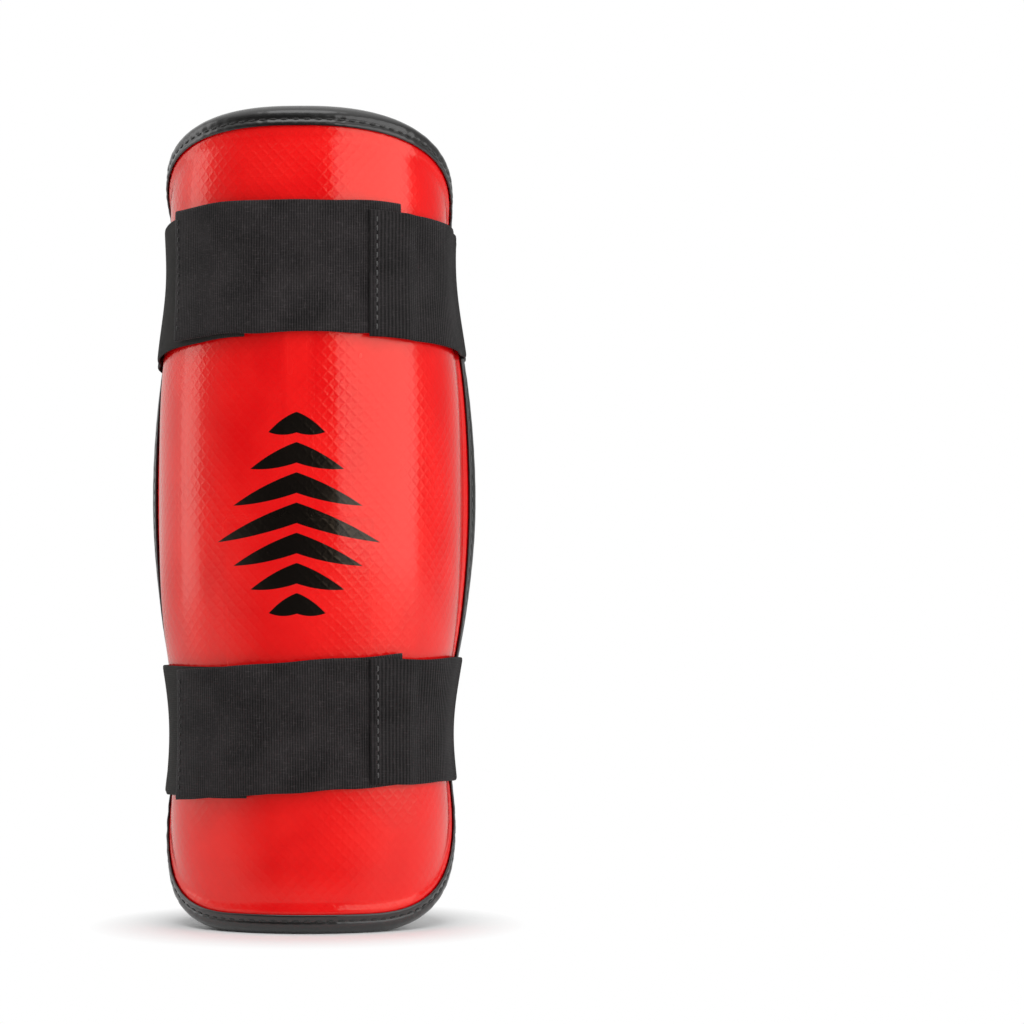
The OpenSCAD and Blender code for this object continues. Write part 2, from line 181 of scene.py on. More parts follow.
def edge_distance(a, z):
    share, slope, deep, _ = corner(a, z)
    steep = np.maximum(np.linalg.norm(slope, axis=-1), 1e-9)
    near = (1 - share) * np.maximum(share, DEEP_SHARE) ** (CORNER_POWER - 1) / steep
    return np.where(share < DEEP_SHARE, deep, near)


def inwards(a, z):
    _, slope, _, top = corner(a, z)
    slope = slope / np.linalg.norm(slope, axis=-1, keepdims=True)
    return np.stack([-np.sign(a) * slope[..., 0], np.where(top, -1, 1) * slope[..., 1]], -1)


def bevel(edge):
    return np.maximum(0, 1 - np.maximum(0, edge) / BEVEL_WIDTH) ** 2


def outer_face(edge, z):
    return -fall_at(z) * bevel(edge)


def inner_face(edge, z):
    return lerp(-PAD_THICKNESS, -fall_at(z) - EDGE_THICKNESS, bevel(edge))


def corner_drop(share, flat, girth):
    across = np.maximum(0, np.abs(share) * girth - flat) / (girth - flat)
    return 1 - np.maximum(0, 1 - across**CORNER_POWER) ** (1 / CORNER_POWER)


def top_edge(share):
    z = GUARD_HEIGHT - TOP_CORNER * corner_drop(share, TOP_FLAT, HALF_GIRTH)
    return np.stack([share * girth_at(z), z], -1)


def bottom_edge(share):
    z = BOTTOM_CORNER * corner_drop(share, BOTTOM_FLAT, girth_at(0.0)) - FOOT_CUT
    return np.stack([share * girth_at(z), z], -1)


print("corner of the top edge:", top_edge(np.array(0.7)).round(1))

# %% [markdown]
# ## Meshes from grids
# Cloth, foam and tape are all layers, so one helper closes the space between an outer and an inner
# grid of points. Each point also keeps its flat place in millimetres, as an attribute. The weaves
# and grains are drawn in that flat place, so they follow the cloth round every bend.

# %% Mesh helpers
MM = 0.001


def make_object(name, points, faces, flat):
    mesh = bpy.data.meshes.new(name)
    mesh.from_pydata((points * MM).tolist(), [], faces)
    mesh.polygons.foreach_set("use_smooth", [True] * len(mesh.polygons))
    place = mesh.attributes.new("flat_place", "FLOAT_VECTOR", "POINT")
    place.data.foreach_set("vector", np.asarray(flat, np.float32).ravel())
    mesh.update()
    obj = bpy.data.objects.new(name, mesh)
    bpy.context.collection.objects.link(obj)
    return obj


def sheet_faces(columns, rows, first=0, turned=False):
    """Quads of a grid of points, seen with its columns to the right and its rows upwards."""
    faces = []
    for i in range(columns - 1):
        for j in range(rows - 1):
            at = first + i * rows + j
            quad = (at, at + rows, at + rows + 1, at + 1)
            faces.append(quad[::-1] if turned else quad)
    return faces


def slab(name, outer, inner, flat, turned=False):
    """A closed layer between two grids of points."""
    columns, rows = outer.shape[:2]
    count = columns * rows
    faces = sheet_faces(columns, rows, 0, turned)
    faces += sheet_faces(columns, rows, count, not turned)
    rim = [(i, 0) for i in range(columns)]
    rim += [(columns - 1, j) for j in range(1, rows)]
    rim += [(i, rows - 1) for i in range(columns - 2, -1, -1)]
    rim += [(0, j) for j in range(rows - 2, 0, -1)]
    ids = [i * rows + j for i, j in rim]
    for here, there in zip(ids, ids[1:] + ids[:1]):
        quad = (there, here, here + count, there + count)
        faces.append(quad[::-1] if turned else quad)
    points = np.concatenate([outer.reshape(-1, 3), inner.reshape(-1, 3)])
    flat = np.concatenate([flat.reshape(-1, 3)] * 2)
    return make_object(name, points, faces, flat)


def tube(name, rings, flat):
    """A closed ring of closed sections."""
    count, size = rings.shape[:2]
    faces = []
    for i in range(count):
        for k in range(size):
            after, beside = (i + 1) % count, (k + 1) % size
            faces.append((i * size + k, after * size + k, after * size + beside, i * size + beside))
    return make_object(name, rings.reshape(-1, 3), faces, flat.reshape(-1, 3))


def place_on(piece, body, slot, *nodes):
    """The piece rides on a body and stands for these solids. The slot is not used."""
    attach(piece, body)
    if nodes:
        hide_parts(*nodes)
    print(f"{piece.name}: {len(piece.data.vertices)} points, rides on {body}")


# %% [markdown]
# ## Helpers for finishes
# Materials are made of nodes. These helpers add a node, join sockets or set plain numbers, which
# keeps the recipes below readable.

# %% Node helpers


def add_node(tree, kind, **settings):
    node = tree.nodes.new(kind)
    for key, value in settings.items():
        setattr(node, key, value)
    return node


def put(tree, socket, value):
    if isinstance(value, bpy.types.NodeSocket):
        tree.links.new(value, socket)
    else:
        socket.default_value = value


def calc(tree, operation, *values):
    """One Math node. Each value is a number or another node's socket."""
    node = add_node(tree, "ShaderNodeMath", operation=operation)
    for socket, value in zip(node.inputs, values):
        put(tree, socket, value)
    return node.outputs[0]


def mix_colour(tree, factor, first, second):
    node = add_node(tree, "ShaderNodeMix", data_type="RGBA")
    for name, value in (("Factor_Float", factor), ("A_Color", first), ("B_Color", second)):
        socket = next(s for s in node.inputs if s.identifier == name)
        put(tree, socket, value)
    return next(s for s in node.outputs if s.identifier == "Result_Color")


def spread(tree, value, low, high, new_low=0.0, new_high=1.0):
    node = add_node(tree, "ShaderNodeMapRange")
    for socket, number in zip(node.inputs, (value, low, high, new_low, new_high)):
        put(tree, socket, number)
    return node.outputs[0]


def flat_place(tree):
    """The three flat coordinates of a point, in millimetres."""
    place = add_node(tree, "ShaderNodeAttribute", attribute_name="flat_place")
    split = add_node(tree, "ShaderNodeSeparateXYZ")
    tree.links.new(place.outputs["Vector"], split.inputs[0])
    return place.outputs["Vector"], split.outputs


def noise(tree, place, scale, detail=2.0):
    node = add_node(tree, "ShaderNodeTexNoise")
    node.inputs["Scale"].default_value = scale
    node.inputs["Detail"].default_value = detail
    tree.links.new(place, node.inputs["Vector"])
    return node.outputs["Fac"]


def new_group(name, inputs, outputs):
    """A shader node group with named number inputs and outputs."""
    group = bpy.data.node_groups.new(name, "ShaderNodeTree")
    for label, value in inputs:
        socket = group.interface.new_socket(label, in_out="INPUT", socket_type="NodeSocketFloat")
        socket.default_value = value
    for label in outputs:
        group.interface.new_socket(label, in_out="OUTPUT", socket_type="NodeSocketFloat")
    entry = add_node(group, "NodeGroupInput")
    leave = add_node(group, "NodeGroupOutput")
    return group, entry.outputs, leave.inputs


def use_group(tree, group, **values):
    node = add_node(tree, "ShaderNodeGroup", node_tree=group)
    for label, value in values.items():
        put(tree, node.inputs[label.replace("_", " ")], value)
    return node.outputs


def new_material(name, **sockets):
    """A material with one Principled shader, whose plain sockets are set here."""
    material = bpy.data.materials.new(name)
    material.use_nodes = True
    shader = material.node_tree.nodes["Principled BSDF"]
    for label, value in sockets.items():
        shader.inputs[label.replace("_", " ")].default_value = value
    return material, material.node_tree, shader


def bump(tree, shader, height, distance_mm, strength=1.0):
    node = add_node(tree, "ShaderNodeBump")
    node.inputs["Distance"].default_value = distance_mm * MM
    node.inputs["Strength"].default_value = strength
    tree.links.new(height, node.inputs["Height"])
    tree.links.new(node.outputs["Normal"], shader.inputs["Normal"])


def linear(red, green, blue):
    """A colour written in the 0 to 255 steps of a screen, as the linear colour of a shader."""
    def channel(v):
        v = v / 255
        return v / 12.92 if v <= 0.04045 else ((v + 0.055) / 1.055) ** 2.4
    return (channel(red), channel(green), channel(blue), 1.0)


# %% [markdown]
# ## Shared effects
# Two effects come back on several pieces. The weave is the ribbed face of elastic, tape, label and
# lining: threads along the cloth cross threads over it, and a few pale streaks are painted in as
# glints, where thick threads would catch the light. The grain is the fine skin of vinyl, on the
# cover and the binding. Each could be drawn anew in every material, but as a node group it is made
# once, and each cloth sets its pitch.

# %% Weave group
weave, weave_in, weave_out = new_group(
    "tape weave", [("Along", 1.5), ("Across", 0.7), ("Wander", 0.15)], ["Height", "Painted Glint", "Cloud"]
)
weave_place, weave_flat = flat_place(weave)
weave_wander = calc(weave, "SUBTRACT", noise(weave, weave_place, 0.25), 0.5)
weave_shift = calc(weave, "MULTIPLY", weave_wander, weave_in["Wander"])


def thread_wave(tree, coordinate, pitch, shift):
    """Rows of round threads, from 0 between them to 1 on their crest."""
    turns = calc(tree, "ADD", calc(tree, "DIVIDE", coordinate, pitch), shift)
    wave = calc(tree, "SINE", calc(tree, "MULTIPLY", turns, 2 * math.pi))
    return calc(tree, "MULTIPLY_ADD", wave, 0.5, 0.5)


def stretched(tree, vector, sizes):
    node = add_node(tree, "ShaderNodeVectorMath", operation="MULTIPLY")
    tree.links.new(vector, node.inputs[0])
    node.inputs[1].default_value = sizes
    return node.outputs[0]


warp = thread_wave(weave, weave_flat[0], weave_in["Along"], weave_shift)
weft = thread_wave(weave, weave_flat[1], weave_in["Across"], weave_shift)
weave.links.new(calc(weave, "MULTIPLY_ADD", weft, 0.35, warp), weave_out["Height"])
# Painted glints: pale streaks that lighten the cloth colour where thick threads would catch the
# light.
GLINT_STRETCHES = ((0.3, 2.4, 1.0), (2.4, 0.3, 1.0))
painted_glints = []
for sizes in GLINT_STRETCHES:
    glint_noise = noise(weave, stretched(weave, weave_place, sizes), 1.0, 2.0)
    painted_glints.append(spread(weave, glint_noise, 0.58, 0.8))
weave.links.new(calc(weave, "MAXIMUM", *painted_glints), weave_out["Painted Glint"])
weave.links.new(noise(weave, weave_place, 0.06, 3.0), weave_out["Cloud"])
print("group:", weave.name)

# %% Grain group
grain, grain_in, grain_out = new_group("vinyl grain", [("Size", 0.8)], ["Height", "Cloud"])
grain_place, _ = flat_place(grain)
cells = add_node(grain, "ShaderNodeTexVoronoi", feature="SMOOTH_F1")
cells.inputs["Smoothness"].default_value = 0.6
grain.links.new(grain_place, cells.inputs["Vector"])
grain.links.new(calc(grain, "DIVIDE", 1.0, grain_in["Size"]), cells.inputs["Scale"])
grain.links.new(cells.outputs["Distance"], grain_out["Height"])
grain.links.new(noise(grain, grain_place, 0.035, 3.0), grain_out["Cloud"])
print("group:", grain.name)

# %% [markdown]
# ## The red cover
# The cover is a sheet of vinyl, cut to the outline and pulled tight over the foam. The binding
# holds its edge and the straps press it down, and between them the foam pushes it up. The bulges
# could be drawn by hand, but a cloth simulation finds them as the real sheet does: it starts a
# little low, is held at its edge and under the straps, and is blown up from below. The swelling is
# then capped, so that the cover stays under the straps.

# %% Flat grid of the pad
COLUMNS, ROWS = 97, 121
PAD_INSET = 2.5
EVEN_ROWS = 0.4


def pad_grid():
    share = np.sin(np.linspace(-math.pi / 2, math.pi / 2, COLUMNS))
    even = np.linspace(0, 1, ROWS)
    row = lerp((1 - np.cos(math.pi * even)) / 2, even, EVEN_ROWS)[None, :]
    ends = []
    for edge in (bottom_edge(share), top_edge(share)):
        ends.append(edge + PAD_INSET * inwards(edge[:, 0], edge[:, 1]))
    low, high = ends
    z = lerp(low[:, 1:], high[:, 1:], row)
    shares = [end[:, :1] / girth_at(end[:, 1:]) for end in ends]
    return lerp(shares[0], shares[1], row) * girth_at(z), z


pad_a, pad_z = pad_grid()
pad_edge = edge_distance(pad_a, pad_z)
pad_outer = outer_face(pad_edge, pad_z)
pad_inner = inner_face(pad_edge, pad_z)
cell_width = np.diff(pad_a, axis=0)
cell_height = np.diff(pad_z, axis=1)

# %% Straps and binding that hold the cover down
HELD_EDGE, HELD_FADE = 9.0, 3.0
BAND_EDGE, BAND_HOLD = 5.0, 0.8
HOOK_SIDE_FALL, ELASTIC_SIDE_FALL = math.tan(math.radians(9)), math.tan(math.radians(5))
UPPER_DROP, LOWER_FALL = 2, 0.026


def press_of(height, fall):
    """How far a strap covers each place of the pad, from 0 to 1."""
    middle = height - fall * (skin(pad_a, pad_z, 0)[..., 1] - front_y(pad_z))
    return smooth((STRAP_WIDTH / 2 + BAND_EDGE / 2 - np.abs(pad_z - middle)) / BAND_EDGE)


upper_fall = np.where(pad_a < 0, HOOK_SIDE_FALL, ELASTIC_SIDE_FALL)
upper_press = press_of(UPPER_HEIGHT - UPPER_DROP, upper_fall)
pressed = np.maximum(upper_press, press_of(LOWER_HEIGHT, LOWER_FALL))
edge_hold = smooth((HELD_EDGE + HELD_FADE - pad_edge) / HELD_FADE)
held = np.maximum(edge_hold, BAND_HOLD * pressed)
print(f"held: {held.mean():.0%} of the cover")

# %% Swelling of the cover
COVER_SLACK = 0.9
SWELL_CAP = 1.5
FREE_RISE, HELD_RISE = 0.5, 0.1
SWELL_FRAMES = 20
SWELL_PRESSURE = 4.0


def swell(points, up, grip):
    """How far each point of a held sheet moves outwards under pressure, in millimetres."""
    columns, rows = points.shape[:2]
    sheet = make_object("swelling", points.reshape(-1, 3), sheet_faces(columns, rows),
                        points.reshape(-1, 3))
    group = sheet.vertex_groups.new(name="held")
    for index, weight in enumerate(grip.ravel()):
        group.add([index], float(weight), "REPLACE")
    cloth = sheet.modifiers.new("swelling", "CLOTH")
    cloth.settings.vertex_group_mass = group.name
    cloth.settings.use_pressure = True
    cloth.settings.uniform_pressure_force = SWELL_PRESSURE
    cloth.settings.effector_weights.gravity = 0.0
    cloth.settings.quality = 6
    for frame_number in range(1, SWELL_FRAMES + 1):
        bpy.context.scene.frame_set(frame_number)
    shaped = sheet.evaluated_get(bpy.context.evaluated_depsgraph_get())
    moved = np.array([v.co for v in shaped.data.vertices]) / MM
    bpy.context.scene.frame_set(1)
    bpy.data.objects.remove(sheet)
    return ((moved.reshape(points.shape) - points) * up).sum(-1)


start_n = pad_outer - COVER_SLACK * (1 - edge_hold)
start = skin(pad_a, pad_z, start_n)
outwards = skin(pad_a, pad_z, start_n + 1) - start
rise = swell(start, outwards, held)
print(f"swelling: {rise.min():.2f} to {rise.max():.2f} mm before the cap")
cover_n = start_n + SWELL_CAP * np.tanh(np.maximum(rise, 0) / SWELL_CAP)
highest = pad_outer + lerp(FREE_RISE, HELD_RISE, np.maximum(pressed, held))
cover_n = np.minimum(cover_n, highest)

# %% Cover
COVER_THICKNESS = 1.0
pad_flat = np.stack([pad_a, pad_z, pad_edge], -1)


def pad_layer(name, top, bottom):
    return slab(name, skin(pad_a, pad_z, top), skin(pad_a, pad_z, bottom), pad_flat)


cover = pad_layer("cover", cover_n, cover_n - COVER_THICKNESS)
place_on(cover, "guard", "cover_vinyl", "outer_cover")

# %% [markdown]
# The vinyl is a glossy red film on a net of threads, and the net shows through as a faint diagonal
# lattice where light grazes it. A coat gives the clear gloss. The printed mark on the front is a
# plain stack of tapered chevrons. It could be cut as thin pieces of its own, but print has no
# thickness, so it is drawn by arithmetic in the flat place, which keeps its edges sharp.

# %% Red vinyl
RED = linear(240, 6, 14)
DEEP_RED = linear(228, 3, 13)
INK = linear(10, 8, 8)
WARM_GLINT = (1.0, 0.82, 0.64, 1.0)
NET_PITCH, NET_WANDER = 3.4, 0.6
DIAGONAL = 0.7071
GRAIN_SHARE = 0.16

red_vinyl, tree, shader = new_material(
    "red vinyl", Coat_Weight=0.35, Coat_Roughness=0.12, Coat_IOR=1.5, Coat_Tint=WARM_GLINT,
    Specular_IOR_Level=0.5, Specular_Tint=WARM_GLINT
)
place, (along, up, _) = flat_place(tree)
skin_grain = use_group(tree, grain, Size=0.9)
slant_up = calc(tree, "MULTIPLY", calc(tree, "ADD", along, up), DIAGONAL)
slant_down = calc(tree, "MULTIPLY", calc(tree, "SUBTRACT", along, up), DIAGONAL)
net_shift = calc(tree, "MULTIPLY", noise(tree, place, 0.08), NET_WANDER)
net = calc(tree, "MAXIMUM", thread_wave(tree, slant_up, NET_PITCH, net_shift),
           thread_wave(tree, slant_down, NET_PITCH, net_shift))
net_shows = spread(tree, noise(tree, place, 0.022, 1.0), 0.35, 0.7, 0.35, 1.0)
height = calc(tree, "MULTIPLY_ADD", calc(tree, "POWER", net, 3.0), net_shows,
              calc(tree, "MULTIPLY", skin_grain["Height"], GRAIN_SHARE))
bump(tree, shader, height, 0.12, 0.7)

# %% Printed mark
MARK_HEIGHT = 160.5
MARK_PITCH = 11.4
MARK_HALF_WIDTH = 33.0
MARK_BAR = 3.9
MARK_ROWS, MARK_TAPER = 3.5, 4.5
MARK_SLOPE = 0.34
INK_EDGE = 0.07

side = calc(tree, "ABSOLUTE", along)
above = calc(tree, "SUBTRACT", up, MARK_HEIGHT)
steps = calc(tree, "DIVIDE", calc(tree, "MULTIPLY_ADD", side, MARK_SLOPE, above), MARK_PITCH)
row = calc(tree, "ROUND", steps)
off_row = calc(tree, "ABSOLUTE", calc(tree, "SUBTRACT", steps, row))
off = calc(tree, "MULTIPLY", off_row, MARK_PITCH)
row_size = calc(tree, "ABSOLUTE", row)
row_share = calc(tree, "SUBTRACT", 1.0, calc(tree, "DIVIDE", row_size, MARK_TAPER))
reach = calc(tree, "MULTIPLY", row_share, MARK_HALF_WIDTH)
taper_off = calc(tree, "POWER", calc(tree, "DIVIDE", side, reach), 2.0)
bar = calc(tree, "MULTIPLY", calc(tree, "SUBTRACT", 1.0, taper_off), MARK_BAR)
inked = spread(tree, calc(tree, "SUBTRACT", bar, off), -INK_EDGE, INK_EDGE)
inked = calc(tree, "MULTIPLY", inked, calc(tree, "LESS_THAN", row_size, MARK_ROWS))
red_tone = mix_colour(tree, spread(tree, skin_grain["Cloud"], 0.35, 0.65), DEEP_RED, RED)
tree.links.new(mix_colour(tree, inked, red_tone, INK), shader.inputs["Base Color"])
gloss = spread(tree, skin_grain["Cloud"], 0.3, 0.7, 0.19, 0.28)
tree.links.new(calc(tree, "MULTIPLY_ADD", inked, 0.06, gloss), shader.inputs["Roughness"])
cover.data.materials.append(red_vinyl)
print("cover finished with", red_vinyl.name)

# %% [markdown]
# ## Foam and lining
# Under the cover lie a dense foam that takes the blows and a soft foam next to the leg, closed by a
# black lining. The foams don't show, and could be left as solids, but they are real layers and have
# to stay inside the swollen cover, so they are made from the same grid. The lining is glued to the
# soft foam and follows it, with the light waves of a glued cloth.

# %% Foams and lining
COMFORT_THICKNESS, COMFORT_EDGE = 4.0, 1.5
LINING_THICKNESS, GLUE = 0.8, 0.1
LINING_WAVE, LINING_WAVE_LENGTH = 0.22, 34.0
LINING_PROUD, FOAM_CLEAR = 0.3, 0.5
STILL_EDGE, STILL_FADE = 10, 12


def waves(x, y, size, count=6):
    """Soft random waves with about this length, between about -1 and 1."""
    total = 0
    for _ in range(count):
        angle, phase = random.uniform(0, 2 * math.pi, 2)
        length = size * random.uniform(0.7, 1.5)
        way = x * math.cos(angle) + y * math.sin(angle)
        total = total + np.sin(way * 2 * math.pi / length + phase)
    return total / math.sqrt(count)


lining_n = pad_inner + LINING_THICKNESS
comfort_n = lining_n + GLUE + lerp(COMFORT_THICKNESS, COMFORT_EDGE, bevel(pad_edge))
lining_wave = LINING_WAVE * waves(pad_a, pad_z, LINING_WAVE_LENGTH)
lining_wave = lining_wave * smooth((pad_edge - STILL_EDGE) / STILL_FADE)
core = pad_layer("core", cover_n - COVER_THICKNESS - GLUE, comfort_n + GLUE)
soft_foam = pad_layer("soft_foam", comfort_n, lining_n + GLUE + FOAM_CLEAR)
lining = pad_layer("lining", lining_n + LINING_PROUD + lining_wave, pad_inner + lining_wave)
place_on(core, "guard", "impact_foam", "impact_foam")
place_on(soft_foam, "guard", "comfort_foam", "comfort_foam")
place_on(lining, "guard", "lining_fabric", "inner_lining")

# %% Foam finish


def foam_material(name, light, dark, size):
    material, tree, shader = new_material(name, Roughness=0.9, Specular_IOR_Level=0.25)
    place, _ = flat_place(tree)
    cells = add_node(tree, "ShaderNodeTexVoronoi")
    cells.inputs["Scale"].default_value = 1 / size
    tree.links.new(place, cells.inputs["Vector"])
    # Painted shade: the colour darkens in the pits of the cells.
    tone = mix_colour(tree, cells.outputs["Distance"], dark, light)
    tree.links.new(tone, shader.inputs["Base Color"])
    bump(tree, shader, cells.outputs["Distance"], 0.2, 0.7)
    return material


dense = foam_material("dense foam", linear(226, 220, 202), linear(196, 188, 166), 0.7)
core.data.materials.append(dense)
soft = foam_material("soft foam", linear(198, 200, 204), linear(150, 152, 156), 1.3)
soft_foam.data.materials.append(soft)
print("foams finished with", dense.name, "and", soft.name)

# %% Lining finish
CLOTH_BLACK = linear(40, 39, 40)
# Pale end of the lining's tone: reached on painted lit crests and glints, and in pale cloudy
# patches.
CLOTH_LIT_AND_PALE = linear(58, 56, 56)


def woven_material(name, dark, light, along, across, depth_mm, **sockets):
    """A woven cloth: threads in its bump, painted shade between them, painted glints, a cloudy tone.
    """
    material, tree, shader = new_material(name, Specular_IOR_Level=0.2, **sockets)
    threads = use_group(tree, weave, Along=along, Across=across)
    # Painted shade: the colour is darker between the threads and lighter on their crests.
    tone = spread(tree, threads["Height"], 0.1, 1.3, 0.0, 0.45)
    # Painted glints: pale streaks lighten the colour.
    tone = calc(tree, "MULTIPLY_ADD", threads["Painted Glint"], 0.7, tone)
    tone = calc(tree, "MULTIPLY_ADD", spread(tree, threads["Cloud"], 0.35, 0.7), 0.25, tone)
    tree.links.new(mix_colour(tree, tone, dark, light), shader.inputs["Base Color"])
    rough = spread(tree, threads["Height"], 0.0, 1.35, 0.92, 0.72)
    tree.links.new(rough, shader.inputs["Roughness"])
    bump(tree, shader, threads["Height"], depth_mm, 0.8)
    return material


lining_cloth = woven_material("lining cloth", CLOTH_BLACK, CLOTH_LIT_AND_PALE, 0.9, 0.9, 0.12,
                              Sheen_Weight=0.25, Sheen_Roughness=0.5)
lining.data.materials.append(lining_cloth)
print("lining finished with", lining_cloth.name)

# %% [markdown]
# ## The binding
# A strip of black vinyl is folded over the whole edge and sewn through with one row of stitches.
# The row pulls a groove into the tape, the tape puckers a little at each needle hole, and round the
# tight corners it gathers into small ripples. A curve with a bevel could follow the edge, but it has
# the same section all round. So the strip is swept in code as a ring of sections, fine enough to
# carry those puckers.

# %% Outline of the guard
BINDING_RINGS = 780
STITCH_PITCH = 4.6


def outline_points():
    """Points at equal steps round the outline, clockwise from the left end of the top edge."""
    turn = np.sin(np.linspace(-math.pi / 2, math.pi / 2, 600))
    side = np.linspace(GUARD_HEIGHT - TOP_CORNER, BOTTOM_CORNER - FOOT_CUT, 400)[1:-1]
    right = np.stack([girth_at(side), side], -1)
    left = right[::-1] * (-1, 1)
    path = np.concatenate([top_edge(turn), right, bottom_edge(turn[::-1]), left])
    closed = np.concatenate([path, path[:1]])
    distance = np.concatenate([[0], np.cumsum(np.linalg.norm(np.diff(closed, axis=0), axis=1))])
    steps = np.linspace(0, distance[-1], BINDING_RINGS, endpoint=False)
    spots = [np.interp(steps, distance, closed[:, k]) for k in (0, 1)]
    return np.stack(spots, -1), steps, distance[-1]


outline, outline_steps, outline_length = outline_points()
stitch_count = round(outline_length / STITCH_PITCH)
stitch_pitch = outline_length / stitch_count
print(f"outline: {outline_length:.0f} mm with {stitch_count} stitches")

# %% Section of the binding
BINDING_LIFT = 1.35
BINDING_GAP = 0.35
ROLL_DEPTH = 3.3
GROOVE = 5.5


def binding_section():
    """The folded tape as (distance from the edge, side from 1 outside to -1 inside, lift)."""
    leg = [(8.0, 0.4), (8.05, 0.85), (7.8, 1.18), (7.3, 1.32), (6.6, 1.32), (6.05, 1.2),
           (GROOVE, 0.95), (4.95, 1.2), (4.4, 1.4), (3.9, 1.42)]
    section = [(d, 1.0, lift) for d, lift in leg]
    for angle in np.linspace(0, math.pi, 15):
        section.append((ROLL_DEPTH * (1 - math.sin(angle)), math.cos(angle), BINDING_LIFT + 0.1))
    section += [(d, -1.0, lift) for d, lift in leg[::-1]]
    section += [(d, -1.0, BINDING_GAP) for d in (7.6, 5.2, 3.4)]
    for angle in np.linspace(math.pi, 0, 5):
        section.append((1.5 + 1.4 * (1 - math.sin(angle)), math.cos(angle), BINDING_GAP))
    section += [(d, 1.0, BINDING_GAP) for d in (3.4, 5.2, 7.6)]
    return np.array(section)


def on_binding(spot, inward, distance, side, lift):
    """Points of the binding. Each argument has one row for each spot of the outline."""
    place = spot[:, None, :] + distance[..., None] * inward[:, None, :]
    a, z = place[..., 0], place[..., 1]
    edge = edge_distance(a, z)
    outer, inner = outer_face(edge, z), inner_face(edge, z)
    n = (outer + inner) / 2 + side * ((outer - inner) / 2 + lift)
    points = skin(a, z, n)
    points[..., 2] = np.maximum(points[..., 2], 0)
    return points


# %% Binding
BEND_REACH = 12
GROOVE_WIDTH = 1.6
PUCKER, RIPPLE, RIPPLE_LENGTH = 0.1, 0.09, 6.5
INSIDE_SHIFT = 20

section = binding_section()
inward = inwards(outline[:, 0], outline[:, 1])
bend = np.linalg.norm(np.roll(inward, -1, 0) - np.roll(inward, 1, 0), axis=1)
window = 2 * BEND_REACH + 1
bend = np.concatenate([bend[-BEND_REACH:], bend, bend[:BEND_REACH]])
bend = np.convolve(bend, np.ones(window) / window, "valid")
pucker = np.cos(outline_steps / stitch_pitch * 2 * math.pi)[:, None]
near_row = bell((section[:, 0] - GROOVE) / GROOVE_WIDTH)[None, :]
gathered = np.minimum(1, bend / bend.max() + 0.25)[:, None]
ripple = waves(outline_steps, 0 * outline_steps, RIPPLE_LENGTH, 5)[:, None] * gathered
outside = (section[:, 2] > BINDING_GAP + 0.05)[None, :]
lifts = section[None, :, 2] + outside * (PUCKER * pucker * near_row + RIPPLE * ripple)
depths = np.repeat(section[None, :, 0], BINDING_RINGS, 0)
sides = np.repeat(section[None, :, 1], BINDING_RINGS, 0)
rings = on_binding(outline, inward, depths, sides, lifts)
along_tape = np.repeat(outline_steps[:, None], len(section), 1)
binding_flat = np.stack([along_tape, depths + INSIDE_SHIFT * (sides < 0), sides], -1)
binding = tube("binding", rings, binding_flat)
place_on(binding, "guard", "binding_vinyl", "edge_binding")

# %% Satin vinyl of the binding
satin_vinyl, tree, shader = new_material(
    "satin vinyl", Specular_IOR_Level=0.4, Coat_Weight=0.9, Coat_Roughness=0.16
)
satin_grain = use_group(tree, grain, Size=0.55)
place, (_, _, crest) = flat_place(tree)
# Painted highlight: the colour is lighter, in patches, along the crest of the folded edge.
painted_crest_sheen = calc(tree, "MULTIPLY", spread(tree, calc(tree, "ABSOLUTE", crest), 0.95, 0.3),
              spread(tree, noise(tree, place, 0.11, 4.0), 0.4, 0.75))
tone = calc(tree, "MULTIPLY_ADD", spread(tree, satin_grain["Cloud"], 0.3, 0.7), 0.4, painted_crest_sheen)
satin_tone = mix_colour(tree, tone, linear(12, 11, 10), linear(38, 36, 34))
tree.links.new(satin_tone, shader.inputs["Base Color"])
satin_rough = spread(tree, satin_grain["Height"], 0.0, 0.7, 0.36, 0.5)
tree.links.new(satin_rough, shader.inputs["Roughness"])
bump(tree, shader, satin_grain["Height"], 0.06, 0.6)
binding.data.materials.append(satin_vinyl)
print("binding finished with", satin_vinyl.name)

# %% [markdown]
# ## Stitches
# A stitch is a short length of thread that dives into the tape at both ends. A row of them could be
# drawn in the tape's finish, but it would lie flat there. So each one is a small bent grain of
# thread, laid along its row, and the rows catch light and shade like real ones.

# %% Stitch maker
STITCH_RINGS, STITCH_SIDES = 7, 8
THREAD_STEP = 7


def stitches(name, middles, ways, ups, length, thickness, sink):
    """One mesh of stitches at these points, each along its way and bent down at both ends."""
    points, faces, flat = [], [], []
    steps = np.linspace(-1, 1, STITCH_RINGS)
    ring = np.linspace(0, 2 * math.pi, STITCH_SIDES, endpoint=False)
    for index, (middle, way, up_way) in enumerate(zip(middles, ways, ups)):
        side_way = np.cross(up_way, way)
        first = len(points)
        for step in steps:
            swell_here = thickness / 2 * math.sqrt(max(0.08, 1 - 0.9 * step**4))
            centre = middle + way * step * length / 2 - up_way * sink * step**4
            for angle in ring:
                out_way = side_way * math.cos(angle) + up_way * math.sin(angle)
                points.append(centre + swell_here * out_way)
                flat.append((step * length / 2 + THREAD_STEP * index, angle * thickness / 2, 0))
        for i in range(STITCH_RINGS - 1):
            at = first + i * STITCH_SIDES
            for k in range(STITCH_SIDES):
                here, beside = at + k, at + (k + 1) % STITCH_SIDES
                faces.append((here, beside, beside + STITCH_SIDES, here + STITCH_SIDES))
        faces.append(tuple(range(first + STITCH_SIDES - 1, first - 1, -1)))
        last = first + (STITCH_RINGS - 1) * STITCH_SIDES
        faces.append(tuple(range(last, last + STITCH_SIDES)))
    return make_object(name, np.array(points), faces, flat)


def unit(vectors):
    return vectors / np.linalg.norm(vectors, axis=-1, keepdims=True)


